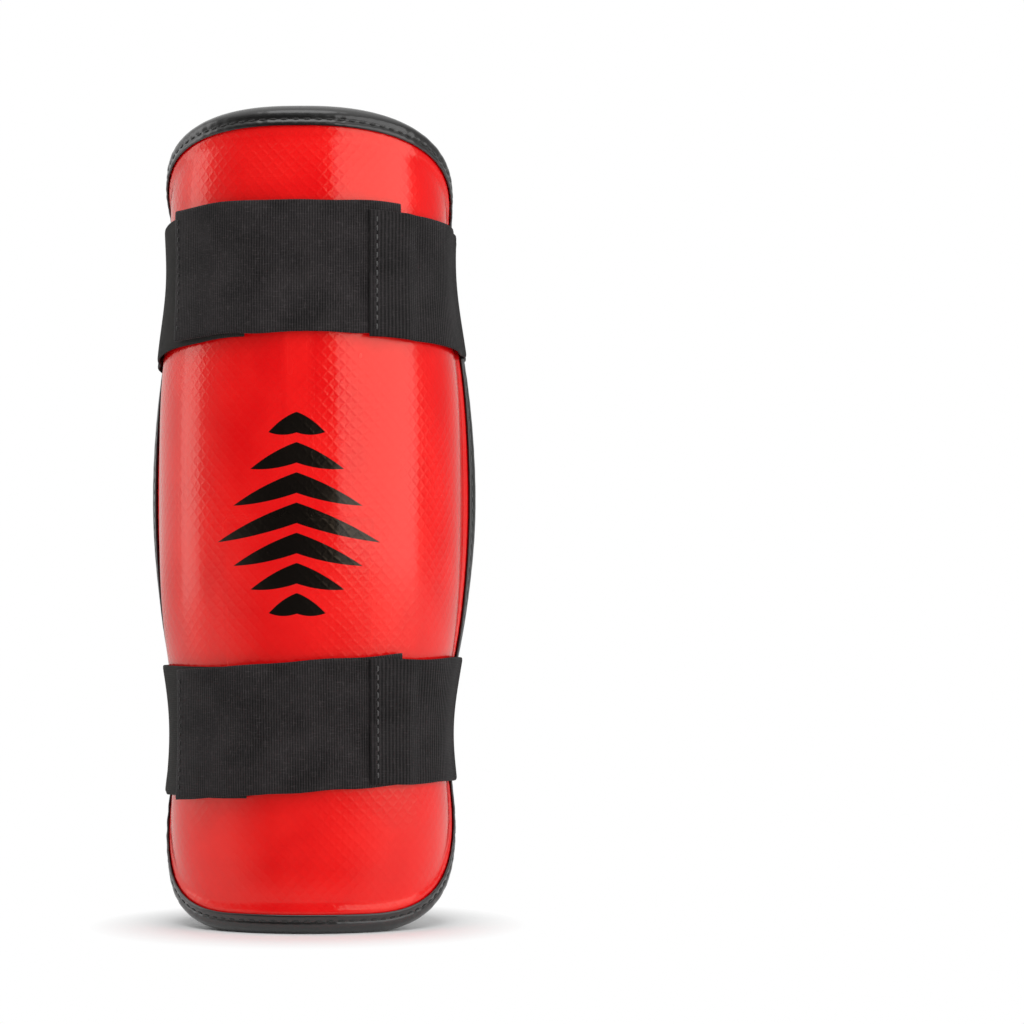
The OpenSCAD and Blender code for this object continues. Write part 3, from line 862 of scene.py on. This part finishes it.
def thread_material(name, dark, light):
    """Twisted thread: slanting strands along each stitch."""
    material, tree, shader = new_material(name, Specular_IOR_Level=0.4, Sheen_Weight=0.2)
    _, (along, around, _) = flat_place(tree)
    slanting = calc(tree, "ADD", along, calc(tree, "MULTIPLY", around, 0.8))
    twist = thread_wave(tree, slanting, 0.55, 0.0)
    # Painted shade: the colour darkens in the grooves between the strands.
    tree.links.new(mix_colour(tree, twist, dark, light), shader.inputs["Base Color"])
    tree.links.new(spread(tree, twist, 0.0, 1.0, 0.75, 0.5), shader.inputs["Roughness"])
    bump(tree, shader, twist, 0.08, 0.8)
    return material


black_thread = thread_material("black thread", linear(14, 14, 14), linear(46, 45, 43))
grey_thread = thread_material("grey thread", linear(46, 45, 45), linear(88, 86, 86))

# %% Stitches of the binding
STITCH_LENGTH = 3.5
STITCH_THICKNESS = 0.75
STITCH_LIFT, STITCH_SINK = 1.05, 0.55

spots = (np.arange(stitch_count) + 0.5) * stitch_pitch
spot_steps = np.concatenate([outline_steps, [outline_length]])
spot_path = np.concatenate([outline, outline[:1]])


def row_points(at, side, lift):
    round_again = at % outline_length
    spot = np.stack([np.interp(round_again, spot_steps, spot_path[:, k]) for k in (0, 1)], -1)
    depth = np.full((len(at), 1), GROOVE)
    full = np.ones_like(depth)
    return on_binding(spot, inwards(spot[:, 0], spot[:, 1]), depth, side * full, lift * full)[:, 0]


for name, side in (("binding_stitches", 1), ("lining_stitches", -1)):
    middles = row_points(spots, side, STITCH_LIFT)
    after = row_points(spots + 0.5, side, STITCH_LIFT)
    ways = unit(after - row_points(spots - 0.5, side, STITCH_LIFT))
    ups = unit(row_points(spots, side, STITCH_LIFT + 1) - middles)
    row = stitches(name, middles, ways, ups, STITCH_LENGTH, STITCH_THICKNESS, STITCH_SINK)
    row.data.materials.append(black_thread)
    place_on(row, "guard", "binding_thread", *(["binding_thread"] if side > 0 else []))

# %% [markdown]
# ## The straps
# Each strap is made of three tapes. A ribbed elastic is sewn inside the right back edge, folds
# round that edge and comes over the side to the front. A loop tape is sewn under its end and lies
# across the front. A hook tape comes from the left back edge in the same way, and the loop tape
# grips it. Flat tapes need no simulation: each one is a ribbon along its own path over the shell.

# %% Sizes of the straps
ELASTIC_THICKNESS, LOOP_THICKNESS, HOOK_THICKNESS = 1.6, 1.8, 2.0
STRAP_GAP, GRIP_GAP = 0.5, 0.35
ELASTIC_END, LAP_LENGTH, TAB_LENGTH, HOOK_END = 27.0, 14.0, 79.0, 20.0
ROOT_LENGTH, FOLD_SLACK, FOLD_CORNER = 16.0, 1.5, 3.5
BINDING_WIDTH, RAMP_LENGTH, LAP_RAMP, LAP_MARGIN = 8.0, 18.0, 8.0, 1.0
FOLD_FADE = 14.0
OVER_BINDING = BINDING_LIFT + STRAP_GAP
FOLD_OUTER = OVER_BINDING - EDGE_FALL
FOLD_INNER = -EDGE_FALL - EDGE_THICKNESS - OVER_BINDING
FOLD_MIDDLE = (FOLD_OUTER + FOLD_INNER) / 2
FOLD_RADIUS = (FOLD_OUTER - FOLD_INNER) / 2
LAP_LIFT = STRAP_GAP + LOOP_THICKNESS + GLUE
GRIP_LIFT = STRAP_GAP + HOOK_THICKNESS + GRIP_GAP


class Tape:
    """Where a tape lies: its height on the front line, its fall towards the back and its slant."""

    def __init__(self, height, fall, slant=0.0, mirrored=False):
        self.height = height
        self.fall = math.tan(math.radians(fall))
        self.slant = math.tan(math.radians(slant))
        self.mirrored = mirrored

    def depth(self, a, n):
        return skin(a, self.height, n)[..., 1] - front_y(self.height)

    def middle(self, a, n):
        return self.height - self.fall * self.depth(a, n) + self.slant * a

    def points(self, a, n, follows, across):
        """Points at stations (a, n), where n counts from the pad's face as far as it follows it."""
        middle = self.middle(a, n)
        z = middle + across
        side = smooth(self.depth(a, 0.0) / SHELL_RADIUS)
        straight = a - side * (front_y(z) - front_y(middle))
        found = skin(straight, z, n + follows * outer_face(edge_distance(straight, z), z))
        return found * (-1, 1, 1) if self.mirrored else found

    def fold_start(self):
        middle = self.middle(HALF_GIRTH, FOLD_OUTER)
        high = middle + STRAP_WIDTH / 2
        return float(girth_at(high) + front_y(high) - front_y(middle) + FOLD_SLACK)


TAPES = {
    "upper": (Tape(251.6, 5.0), Tape(253.6, 5.0, 0.9), Tape(252.5, 9.0, mirrored=True)),
    "lower": (Tape(81.3, 1.5), Tape(79.4, 1.5, 4.0), Tape(77.0, 1.5, mirrored=True)),
}
print("folds start at", [round(t.fold_start(), 1) for tapes in TAPES.values() for t in tapes])

# %% Paths of the tapes
RIB_PITCH = 1.5
ELASTIC_NECK = 2.0
STATION = 0.375
NEVER = 1e6


def steps_between(start, end, step):
    return np.linspace(start, end, max(2, round(abs(end - start) / step) + 1))


def folded_path(tape, thickness, end, lift, step):
    """Stations from a strap's front end to the back edge, round its fold and inside the pad."""
    start = tape.fold_start()
    run = steps_between(end, start, step)
    fade = smooth((run - start + FOLD_FADE) / FOLD_FADE)
    run_n = lerp(lift(run), FOLD_OUTER, fade)
    turn = steps_between(math.pi / 2, -math.pi / 2, step / FOLD_RADIUS)[1:-1]
    root = steps_between(start, start - FOLD_SLACK - ROOT_LENGTH, step)
    wide = FOLD_RADIUS + thickness
    flat_root = np.full(len(root), FOLD_INNER)
    path = {
        "outer_a": np.concatenate([run, start + wide * np.cos(turn), root]),
        "outer_n": np.concatenate([run_n + thickness, FOLD_MIDDLE + wide * np.sin(turn),
                                   flat_root - thickness]),
        "inner_a": np.concatenate([run, start + FOLD_RADIUS * np.cos(turn), root]),
        "inner_n": np.concatenate([run_n, FOLD_MIDDLE + FOLD_RADIUS * np.sin(turn), flat_root]),
        "follows": np.concatenate([1 - fade, 0 * turn, 0 * root]),
        "back": start + wide,
    }
    path["run"] = np.arange(len(path["follows"])) < len(run)
    path["root"] = np.arange(len(path["follows"])) >= len(run) + len(turn)
    return path


def laid_path(start, end, thickness, lift, step):
    """Stations of a tape that lies on the front and never reaches the back edge."""
    a = steps_between(start, end, step)
    return {"outer_a": a, "outer_n": lift(a) + thickness, "inner_a": a, "inner_n": lift(a),
            "follows": np.ones(len(a)), "back": NEVER}


def run_lift(tape, end, end_lift, end_length):
    """The lift of a strap over the pad: high on another tape at its end, then over the binding."""
    edge = tape.fold_start() - FOLD_SLACK - BINDING_WIDTH

    def lift(a):
        over_end = lerp(end_lift, STRAP_GAP, smooth((a - end - end_length) / LAP_RAMP))
        over_edge = lerp(STRAP_GAP, OVER_BINDING, smooth((a - edge) / BINDING_WIDTH + 1.5))
        return np.maximum(over_end, over_edge)

    return lift


def tab_lift(a):
    return lerp(GRIP_LIFT, STRAP_GAP, smooth((a + HOOK_END - LAP_MARGIN) / RAMP_LENGTH))


# %% Ribbon maker
EDGE_STEPS = np.array([0.9, 0.955, 0.985, 1])
ACROSS = np.concatenate([-EDGE_STEPS[::-1], np.linspace(-0.82, 0.82, 19), EDGE_STEPS])
EDGE_THIN = np.interp(np.abs(ACROSS), EDGE_STEPS, [1, 0.96, 0.72, 0.3])
EDGE_WOBBLE = 0.22


def ribbon(name, tape, path, rib=0.0, wave=0.1, neck=0.0):
    """A tape with thin, slightly wavy edges, soft ends and ribs, drawn in where it is stretched."""
    outer_a, inner_a = path["outer_a"][:, None], path["inner_a"][:, None]
    outer_n, inner_n = path["outer_n"][:, None], path["inner_n"][:, None]
    twice_a, twice_n = path["outer_a"] + path["inner_a"], path["outer_n"] + path["inner_n"]
    steps = np.hypot(np.diff(twice_a), np.diff(twice_n)) / 2
    length = np.concatenate([[0], np.cumsum(steps)])[:, None]
    past = np.maximum(0, outer_a - path["back"] + FOLD_CORNER) / FOLD_CORNER
    half = (STRAP_WIDTH - neck) / 2 - FOLD_CORNER * (1 - np.sqrt(np.maximum(0, 1 - past * past)))
    upper_wave, lower_wave = waves(length, 0, 31.0, 4), waves(length, 0, 27.0, 4)
    wobble = EDGE_WOBBLE * np.where(ACROSS > 0, upper_wave, lower_wave)
    across = (half + wobble * np.abs(ACROSS) ** 6) * ACROSS
    dent = wave * waves(length, across, 45.0)
    follows = path["follows"][:, None]
    outer = tape.points(outer_a, outer_n + follows * dent, follows, across)
    inner = tape.points(inner_a, inner_n + follows * dent, follows, across)
    thin = np.ones(len(length))
    thin[[0, -1]], thin[[1, -2]] = 0.4, 0.85
    middle = (outer + inner) / 2
    half_way = (outer - inner) / 2 * (thin[:, None] * EDGE_THIN)[..., None]
    ribs = rib * (np.cos(length / RIB_PITCH * 2 * math.pi) - 1) / 2
    ribs = ribs * (np.abs(ACROSS) < 0.97) * thin[:, None]
    outer = middle + half_way + unit(half_way) * ribs[..., None]
    flat = np.stack(np.broadcast_arrays(length, across, 0 * across), -1)
    piece = slab(name, outer, middle - half_way, flat, tape.mirrored)
    return piece, float(length[-1, 0])


def inner_finish(piece, path, material):
    """Gives the tape's inner face a finish of its own."""
    piece.data.materials.append(material)
    quads = (len(path["follows"]) - 1) * (len(ACROSS) - 1)
    index = np.zeros(len(piece.data.polygons), int)
    index[quads:2 * quads] = 1
    piece.data.polygons.foreach_set("material_index", index)


# %% [markdown]
# Elastic has round ribs across it, made of real waves in the mesh, over a fine weave. The back of
# the loop tape is a flat weave, and its pile is a felt of tiny loops. The hook tape is a stiff
# weave that carries rows of hooks. One black could serve them all, but each throws the light back
# in its own way, so each has a finish of its own.

# %% Finishes of the tapes
TAPE_DARK, TAPE_LIGHT = linear(8, 7, 7), linear(56, 52, 53)
elastic_cloth = woven_material("ribbed elastic", TAPE_DARK, TAPE_LIGHT, RIB_PITCH, 0.62, 0.16,
                               Sheen_Weight=0.05, Sheen_Roughness=0.4)
loop_back = woven_material("loop tape back", linear(9, 8, 8), linear(64, 59, 60), 0.95, 0.6, 0.16,
                           Sheen_Weight=0.06, Sheen_Roughness=0.4)
hook_base = woven_material("hook tape", linear(28, 27, 26), linear(60, 58, 56), 0.8, 0.8, 0.1)


def pile_material(name):
    material, tree, shader = new_material(
        name, Roughness=0.95, Sheen_Weight=0.2, Sheen_Roughness=0.6, Specular_IOR_Level=0.1
    )
    place, _ = flat_place(tree)
    loops = noise(tree, place, 2.2, 6.0)
    # Painted shade: the colour darkens in the hollows between the loops.
    lightness = spread(tree, loops, 0.35, 0.7)
    tone = mix_colour(tree, lightness, linear(14, 13, 13), linear(66, 63, 63))
    tree.links.new(tone, shader.inputs["Base Color"])
    bump(tree, shader, loops, 0.5, 1.0)
    return material


loop_pile = pile_material("loop pile")
hook_plastic, tree, shader = new_material("hook nylon", Roughness=0.45, Specular_IOR_Level=0.4)
place, _ = flat_place(tree)
nylon_tone = mix_colour(tree, noise(tree, place, 0.4), linear(22, 21, 21), linear(52, 50, 49))
tree.links.new(nylon_tone, shader.inputs["Base Color"])
print("tape finishes made")

# %% [markdown]
# The tapes bend where their straps open: the sewn end stays on the guard and the free run swings.
# Two stiff halves could meet there, but a gap would show. For each tape the direction that parts its
# sewn end from its free run most widely is found, and the tape is baked in place as one piece.

# %% Fold direction helper
WAY_TURNS = np.radians(np.arange(0, 360, 3))
WAY_TILTS = np.radians(np.arange(-30, 31, 3))


def bend_at_fold(piece, path):
    """Finds the direction that parts the tape's sewn end from its free run most widely; bakes the
    tape.
    """
    points = np.array([v.co for v in piece.data.vertices]).reshape(2, -1, len(ACROSS), 3)
    turn, tilt = (grid.ravel() for grid in np.meshgrid(WAY_TURNS, WAY_TILTS))
    ways = np.array([np.cos(turn) * np.cos(tilt), np.sin(turn) * np.cos(tilt), np.sin(tilt)])
    sewn_ends = (points[:, path["root"]].reshape(-1, 3) @ ways).max(axis=0)
    free_ends = (points[:, path["run"]].reshape(-1, 3) @ ways).min(axis=0)
    best = int((free_ends - sewn_ends).argmax())
    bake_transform(piece)


# %% Elastics and loop tapes
ELASTIC_RIB = 0.07
LOOP_STATION = 0.8
HINGE_GAP = 0.6
TAB_START = ELASTIC_END - HINGE_GAP - TAB_LENGTH


def make_elastic(where, tape):
    """The ribbed elastic, from its lap on the front, round its fold, to its sewn root."""
    lift = run_lift(tape, ELASTIC_END, LAP_LIFT, LAP_LENGTH + LAP_MARGIN)
    path = folded_path(tape, ELASTIC_THICKNESS, ELASTIC_END, lift, STATION)
    elastic, length = ribbon(f"{where}_elastic", tape, path, rib=ELASTIC_RIB, neck=ELASTIC_NECK)
    elastic.data.materials.append(elastic_cloth)
    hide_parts(f"{where}_elastic_root", f"{where}_elastic_strap")
    bend_at_fold(elastic, path)


def make_loop(where, tape):
    """The loop tape, from its free end on the front to its lap under the elastic."""
    path = laid_path(TAB_START, ELASTIC_END + LAP_LENGTH, LOOP_THICKNESS, tab_lift, LOOP_STATION)
    loop, length = ribbon(f"{where}_loop", tape, path)
    loop.data.materials.append(loop_back)
    inner_finish(loop, path, loop_pile)
    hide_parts(f"{where}_loop_lap", f"{where}_loop_tab")
    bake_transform(loop)


# %% Hook tapes
HOOK_STATION = 0.9
HOOK_BASE, HOOK_HEIGHT, HOOK_PITCH = 1.15, 0.85, 1.6
HOOK_INSET, TAB_MARGIN, HOOK_HALF_WIDTH = 1.5, 3, 22.5
HOOK_STEM = [(0.0, -0.1), (0.0, 0.6), (0.28, 0.95), (0.6, 0.8)]
STEM_SIZE, TIP_SIZE, TIP_START = 0.16, 0.11, 0.7


def hook_field(name, tape, lift):
    """Rows of small bent hooks on the outer face of the hook tape, where the tab covers it."""
    points, faces, flat = [], [], []
    stations = np.arange(HOOK_END + HOOK_INSET, TAB_LENGTH - ELASTIC_END - TAB_MARGIN, HOOK_PITCH)
    rows = np.arange(-HOOK_HALF_WIDTH, HOOK_HALF_WIDTH + 0.1, HOOK_PITCH)
    for index, a in enumerate(stations):
        across = rows + (index % 2) * HOOK_PITCH / 2
        lean = random.uniform(0.7, 1.1, len(rows))
        base = float(lift(a)) + HOOK_BASE
        for offset, bend_size in zip(across, lean):
            first = len(points)
            for reach_out, rise_up in HOOK_STEM:
                size = STEM_SIZE if rise_up < TIP_START else TIP_SIZE
                corner_a = a + size * np.array([-1, 1, 1, -1])
                corner_z = offset + reach_out * bend_size + size * np.array([-1, -1, 1, 1])
                points.extend(tape.points(corner_a, base + rise_up * HOOK_HEIGHT, 1, corner_z))
                flat.extend([(a, offset, rise_up)] * 4)
            for i in range(len(HOOK_STEM) - 1):
                at = first + 4 * i
                for k in range(4):
                    here, beside = at + k, at + (k + 1) % 4
                    quad = (here, beside, beside + 4, here + 4)
                    faces.append(quad[::-1] if tape.mirrored else quad)
            cap = tuple(range(first + 12, first + 16))
            faces.append(cap[::-1] if tape.mirrored else cap)
    return make_object(name, np.array(points), faces, flat)


def make_hook(where, tape):
    """The hook tape, from its end under the tab, round its fold, to its sewn root."""
    lift = run_lift(tape, HOOK_END, STRAP_GAP, 0.0)
    path = folded_path(tape, HOOK_BASE, HOOK_END, lift, HOOK_STATION)
    hook, length = ribbon(f"{where}_hook_tape", tape, path)
    hook.data.materials.append(hook_base)
    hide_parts(f"{where}_hook_root", f"{where}_hook_strap")
    bend_at_fold(hook, path)
    hooks = hook_field(f"{where}_hooks", tape, lift)
    hooks.data.materials.append(hook_plastic)
    place_on(hooks, f"{where}_hook", "hook_tape")


# %% Stitches of the straps
ROW_HALF, ROW_PITCH = 22.0, 3.3
ROW_LENGTH, ROW_THICKNESS, ROW_SINK, ROW_LIFT = 0.74, 0.7, 0.45, 0.1
LAP_INSET, HEM_INSET = 2.5, 3.0
ROOT_ROWS = (("near", 5.0), ("far", 13.0))


def stitch_row(name, tape, a, n, follows, body, slot, thread, *nodes):
    """A row of stitches across a tape, at one station of its path."""
    count = round(2 * ROW_HALF / ROW_PITCH)
    across = (np.arange(count) + 0.5) / count * 2 * ROW_HALF - ROW_HALF
    middles, ends, tops = (
        tape.points(np.full(count, a), np.full(count, n + more), follows, across + shift)
        for more, shift in ((0.0, 0.0), (0.0, 0.5), (1.0, 0.0))
    )
    outwards_sign = 1 if follows else -1
    row = stitches(name, middles, unit(ends - middles), unit(tops - middles) * outwards_sign,
                   ROW_PITCH * ROW_LENGTH, ROW_THICKNESS, ROW_SINK)
    row.data.materials.append(thread)
    place_on(row, body, slot, *nodes)


def sew_strap(where, elastic, loop, hook):
    """The rows that show: at the lap, at the hem of the tab and at both sewn roots."""
    lap_n = LAP_LIFT + ELASTIC_THICKNESS + ROW_LIFT
    stitch_row(f"{where}_lap_stitches", elastic, ELASTIC_END + LAP_INSET, lap_n, 1,
               f"{where}_strap", "lap_thread", grey_thread, f"{where}_lap_thread")
    hem_n = GRIP_LIFT + LOOP_THICKNESS + ROW_LIFT
    stitch_row(f"{where}_hem_stitches", loop, TAB_START + HEM_INSET, hem_n, 1,
               f"{where}_tab", "binding_thread", black_thread)
    for tape, side, thickness in ((elastic, "right", ELASTIC_THICKNESS), (hook, "left", HOOK_BASE)):
        for name, inset in ROOT_ROWS:
            stitch_row(f"{where}_{side}_root_{name}", tape, tape.fold_start() - FOLD_SLACK - inset,
                       FOLD_INNER - thickness - ROW_LIFT, 0, "guard", "binding_thread", black_thread)


# %% Both straps
for where, (elastic_tape, loop_tape, hook_tape) in TAPES.items():
    make_elastic(where, elastic_tape)
    make_loop(where, loop_tape)
    make_hook(where, hook_tape)
    sew_strap(where, elastic_tape, loop_tape, hook_tape)

# %% [markdown]
# ## The side label
# A folded woven label is caught in the binding at the right back edge. It stays bare. Its sewn end
# keeps still and only its free end flaps. The seam where it leaves the binding is found, and the
# label is baked in place as one piece.

# %% Label
LABEL_Z, LABEL_HEIGHT, LABEL_LENGTH, LABEL_THICKNESS, LABEL_GAP = 157.0, 28.0, 16.0, 0.8, 0.8
LABEL_CAUGHT = 1.2
LABEL_BOW, LABEL_WAVE, LABEL_BEND = 0.5, 0.15, 2.0
FOLD_ROUND = 0.5

label_start = float(girth_at(LABEL_Z))
label_end = label_start + LABEL_GAP + LABEL_LENGTH
label_a = np.linspace(label_start - LABEL_CAUGHT, label_end, 41)[:, None]
label_z = np.linspace(-1, 1, 29)[None, :] * LABEL_HEIGHT / 2 + LABEL_Z
label_share = np.clip((label_a - label_start) / LABEL_LENGTH, 0, 1)
label_n = float(outer_face(0.0, LABEL_Z)) - EDGE_THICKNESS / 2
label_wave = LABEL_WAVE * waves(label_a, label_z, 22.0) * label_share
label_n = label_n + LABEL_BOW * np.sin(label_share * 2.6) + label_wave
fold_round = np.sqrt(np.clip((label_end - label_a) / FOLD_ROUND, 0.1, 1))
label_half = LABEL_THICKNESS / 2 * fold_round
label_outer = skin(label_a, label_z, label_n + label_half)
label_inner = skin(label_a, label_z, label_n - label_half)
label_flat = np.stack(np.broadcast_arrays(label_a, label_z, 0 * label_z), -1)
label = slab("label", label_outer, label_inner, label_flat)
label_cloth = woven_material("label satin", linear(34, 10, 14), linear(78, 34, 40), 0.42, 0.3, 0.05,
                             Sheen_Weight=0.2, Sheen_Roughness=0.35)
label.data.materials.append(label_cloth)
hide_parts("side_label")
seam_n = float(label_n.mean())
seam = skin(label_start, LABEL_Z, seam_n)
seam_way = unit(skin(label_start + 1, LABEL_Z, seam_n) - seam)
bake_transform(label)
print("label at", seam.round(1))

# %% [markdown]
# ## The stage
# The guard stands on a plain pale floor in soft studio light: a wide lamp at the right, a tall strip
# at the left whose glint runs down the left side, and a soft lamp overhead. The world behind it is
# white to the camera, and the floor fades into that white away from the guard's shadow. Glossy vinyl
# mirrors its room, and an even white room would veil the red. So to glossy rays the floor and the
# room are dim in front, pale behind and white overhead, as round a photographer's table.

# %% Floor
FLOOR_SIZE = 4.0
SHADOW_NEAR, SHADOW_FAR = 0.052, 0.085
SHADOW_MIDDLE = (0.0, 0.03, 0.0)
FRONT_EDGE, FRONT_FULL = -0.35, -0.85
PAPER, DIM_PAPER = (0.93, 0.93, 0.93, 1.0), (0.03, 0.03, 0.03, 1.0)

floor_mesh = bpy.data.meshes.new("floor")
corners = [(FLOOR_SIZE * x, FLOOR_SIZE * y, 0) for x, y in ((-1, -1), (1, -1), (1, 1), (-1, 1))]
floor_mesh.from_pydata(corners, [], [(0, 1, 2, 3)])
floor = bpy.data.objects.new("floor", floor_mesh)
bpy.context.collection.objects.link(floor)
paper, tree, shader = new_material("white paper", Roughness=0.9, Specular_IOR_Level=0.1)
where_on_floor = add_node(tree, "ShaderNodeTexCoord")
flat_on_floor = add_node(tree, "ShaderNodeVectorMath", operation="DISTANCE")
tree.links.new(where_on_floor.outputs["Object"], flat_on_floor.inputs[0])
flat_on_floor.inputs[1].default_value = SHADOW_MIDDLE
far_off = spread(tree, flat_on_floor.outputs["Value"], SHADOW_NEAR, SHADOW_FAR)
ray = add_node(tree, "ShaderNodeLightPath")
floor_way = add_node(tree, "ShaderNodeVectorMath", operation="NORMALIZE")
tree.links.new(where_on_floor.outputs["Object"], floor_way.inputs[0])
floor_split = add_node(tree, "ShaderNodeSeparateXYZ")
tree.links.new(floor_way.outputs[0], floor_split.inputs[0])
front_wedge = spread(tree, floor_split.outputs[1], FRONT_EDGE, FRONT_FULL)
in_front = calc(tree, "MULTIPLY", far_off, front_wedge)
mirrored_floor = calc(tree, "MULTIPLY", in_front, ray.outputs["Is Glossy Ray"])
tree.links.new(mix_colour(tree, mirrored_floor, PAPER, DIM_PAPER), shader.inputs["Base Color"])
glow = add_node(tree, "ShaderNodeEmission")
blend_to_white = add_node(tree, "ShaderNodeMixShader")
seen_far_off = calc(tree, "MULTIPLY", far_off, ray.outputs["Is Camera Ray"])
tree.links.new(seen_far_off, blend_to_white.inputs[0])
tree.links.new(shader.outputs[0], blend_to_white.inputs[1])
tree.links.new(glow.outputs[0], blend_to_white.inputs[2])
tree.links.new(blend_to_white.outputs[0], tree.nodes["Material Output"].inputs["Surface"])
floor_mesh.materials.append(paper)
print("floor finished with", paper.name)

# %% World
AMBIENT = 0.52
ROOM_FRONT, ROOM_BACK, ROOM_RIGHT = 0.02, 0.75, 0.3

world = bpy.data.worlds.new("studio")
bpy.context.scene.world = world
world.use_nodes = True
tree = world.node_tree
backdrop = tree.nodes["Background"]
ray = add_node(tree, "ShaderNodeLightPath")
way = add_node(tree, "ShaderNodeTexCoord")
split = add_node(tree, "ShaderNodeSeparateXYZ")
tree.links.new(way.outputs["Generated"], split.inputs[0])
room_depth = spread(tree, split.outputs[1], -0.6, 0.4, ROOM_FRONT, ROOM_BACK)
room_side = spread(tree, split.outputs[0], 0.0, 0.8, 1.0, ROOM_RIGHT)
room_top = spread(tree, split.outputs[2], 0.45, 0.8)
mirrored_room = calc(tree, "MAXIMUM", calc(tree, "MULTIPLY", room_depth, room_side), room_top)
room = calc(tree, "MULTIPLY", mirrored_room, ray.outputs["Is Glossy Ray"])
seen = calc(tree, "MAXIMUM", ray.outputs["Is Camera Ray"], ray.outputs["Is Transmission Ray"])
seen = calc(tree, "MAXIMUM", seen, room)
lit = calc(tree, "MULTIPLY", ray.outputs["Is Diffuse Ray"], AMBIENT)
tree.links.new(calc(tree, "MAXIMUM", seen, lit), backdrop.inputs["Strength"])
backdrop.inputs["Color"].default_value = (1.0, 1.0, 1.0, 1.0)
print("world lights with", AMBIENT)

# %% Lamps


def lamp(name, place, target, size, power):
    data = bpy.data.lights.new(name, "AREA")
    data.shape = "RECTANGLE"
    data.size, data.size_y = size
    data.energy = power
    obj = bpy.data.objects.new(name, data)
    obj.location = place
    way = np.array(target) - np.array(place)
    tilt = math.atan2(math.hypot(way[0], way[1]), -way[2])
    turn = math.atan2(way[1], way[0]) - math.pi / 2
    obj.rotation_euler = (tilt, 0.0, turn)
    bpy.context.collection.objects.link(obj)
    print(f"{name}: {power} W at {place}")


lamp("right softbox", (1.36, -0.82, 0.45), (0, 0, 0.15), (2.15, 1.4), 19.0)
lamp("left strip", (-1.35, 0.2, 0.35), (0, 0, 0.16), (0.5, 1.5), 3.2)
lamp("overhead", (-0.1, -0.8, 1.55), (0, 0, 0.15), (1.3, 1.0), 9.0)

# %% [markdown]
# ## Finish
# The picture keeps plain colours.

# %% Finish
bpy.context.scene.view_settings.view_transform = "Standard"
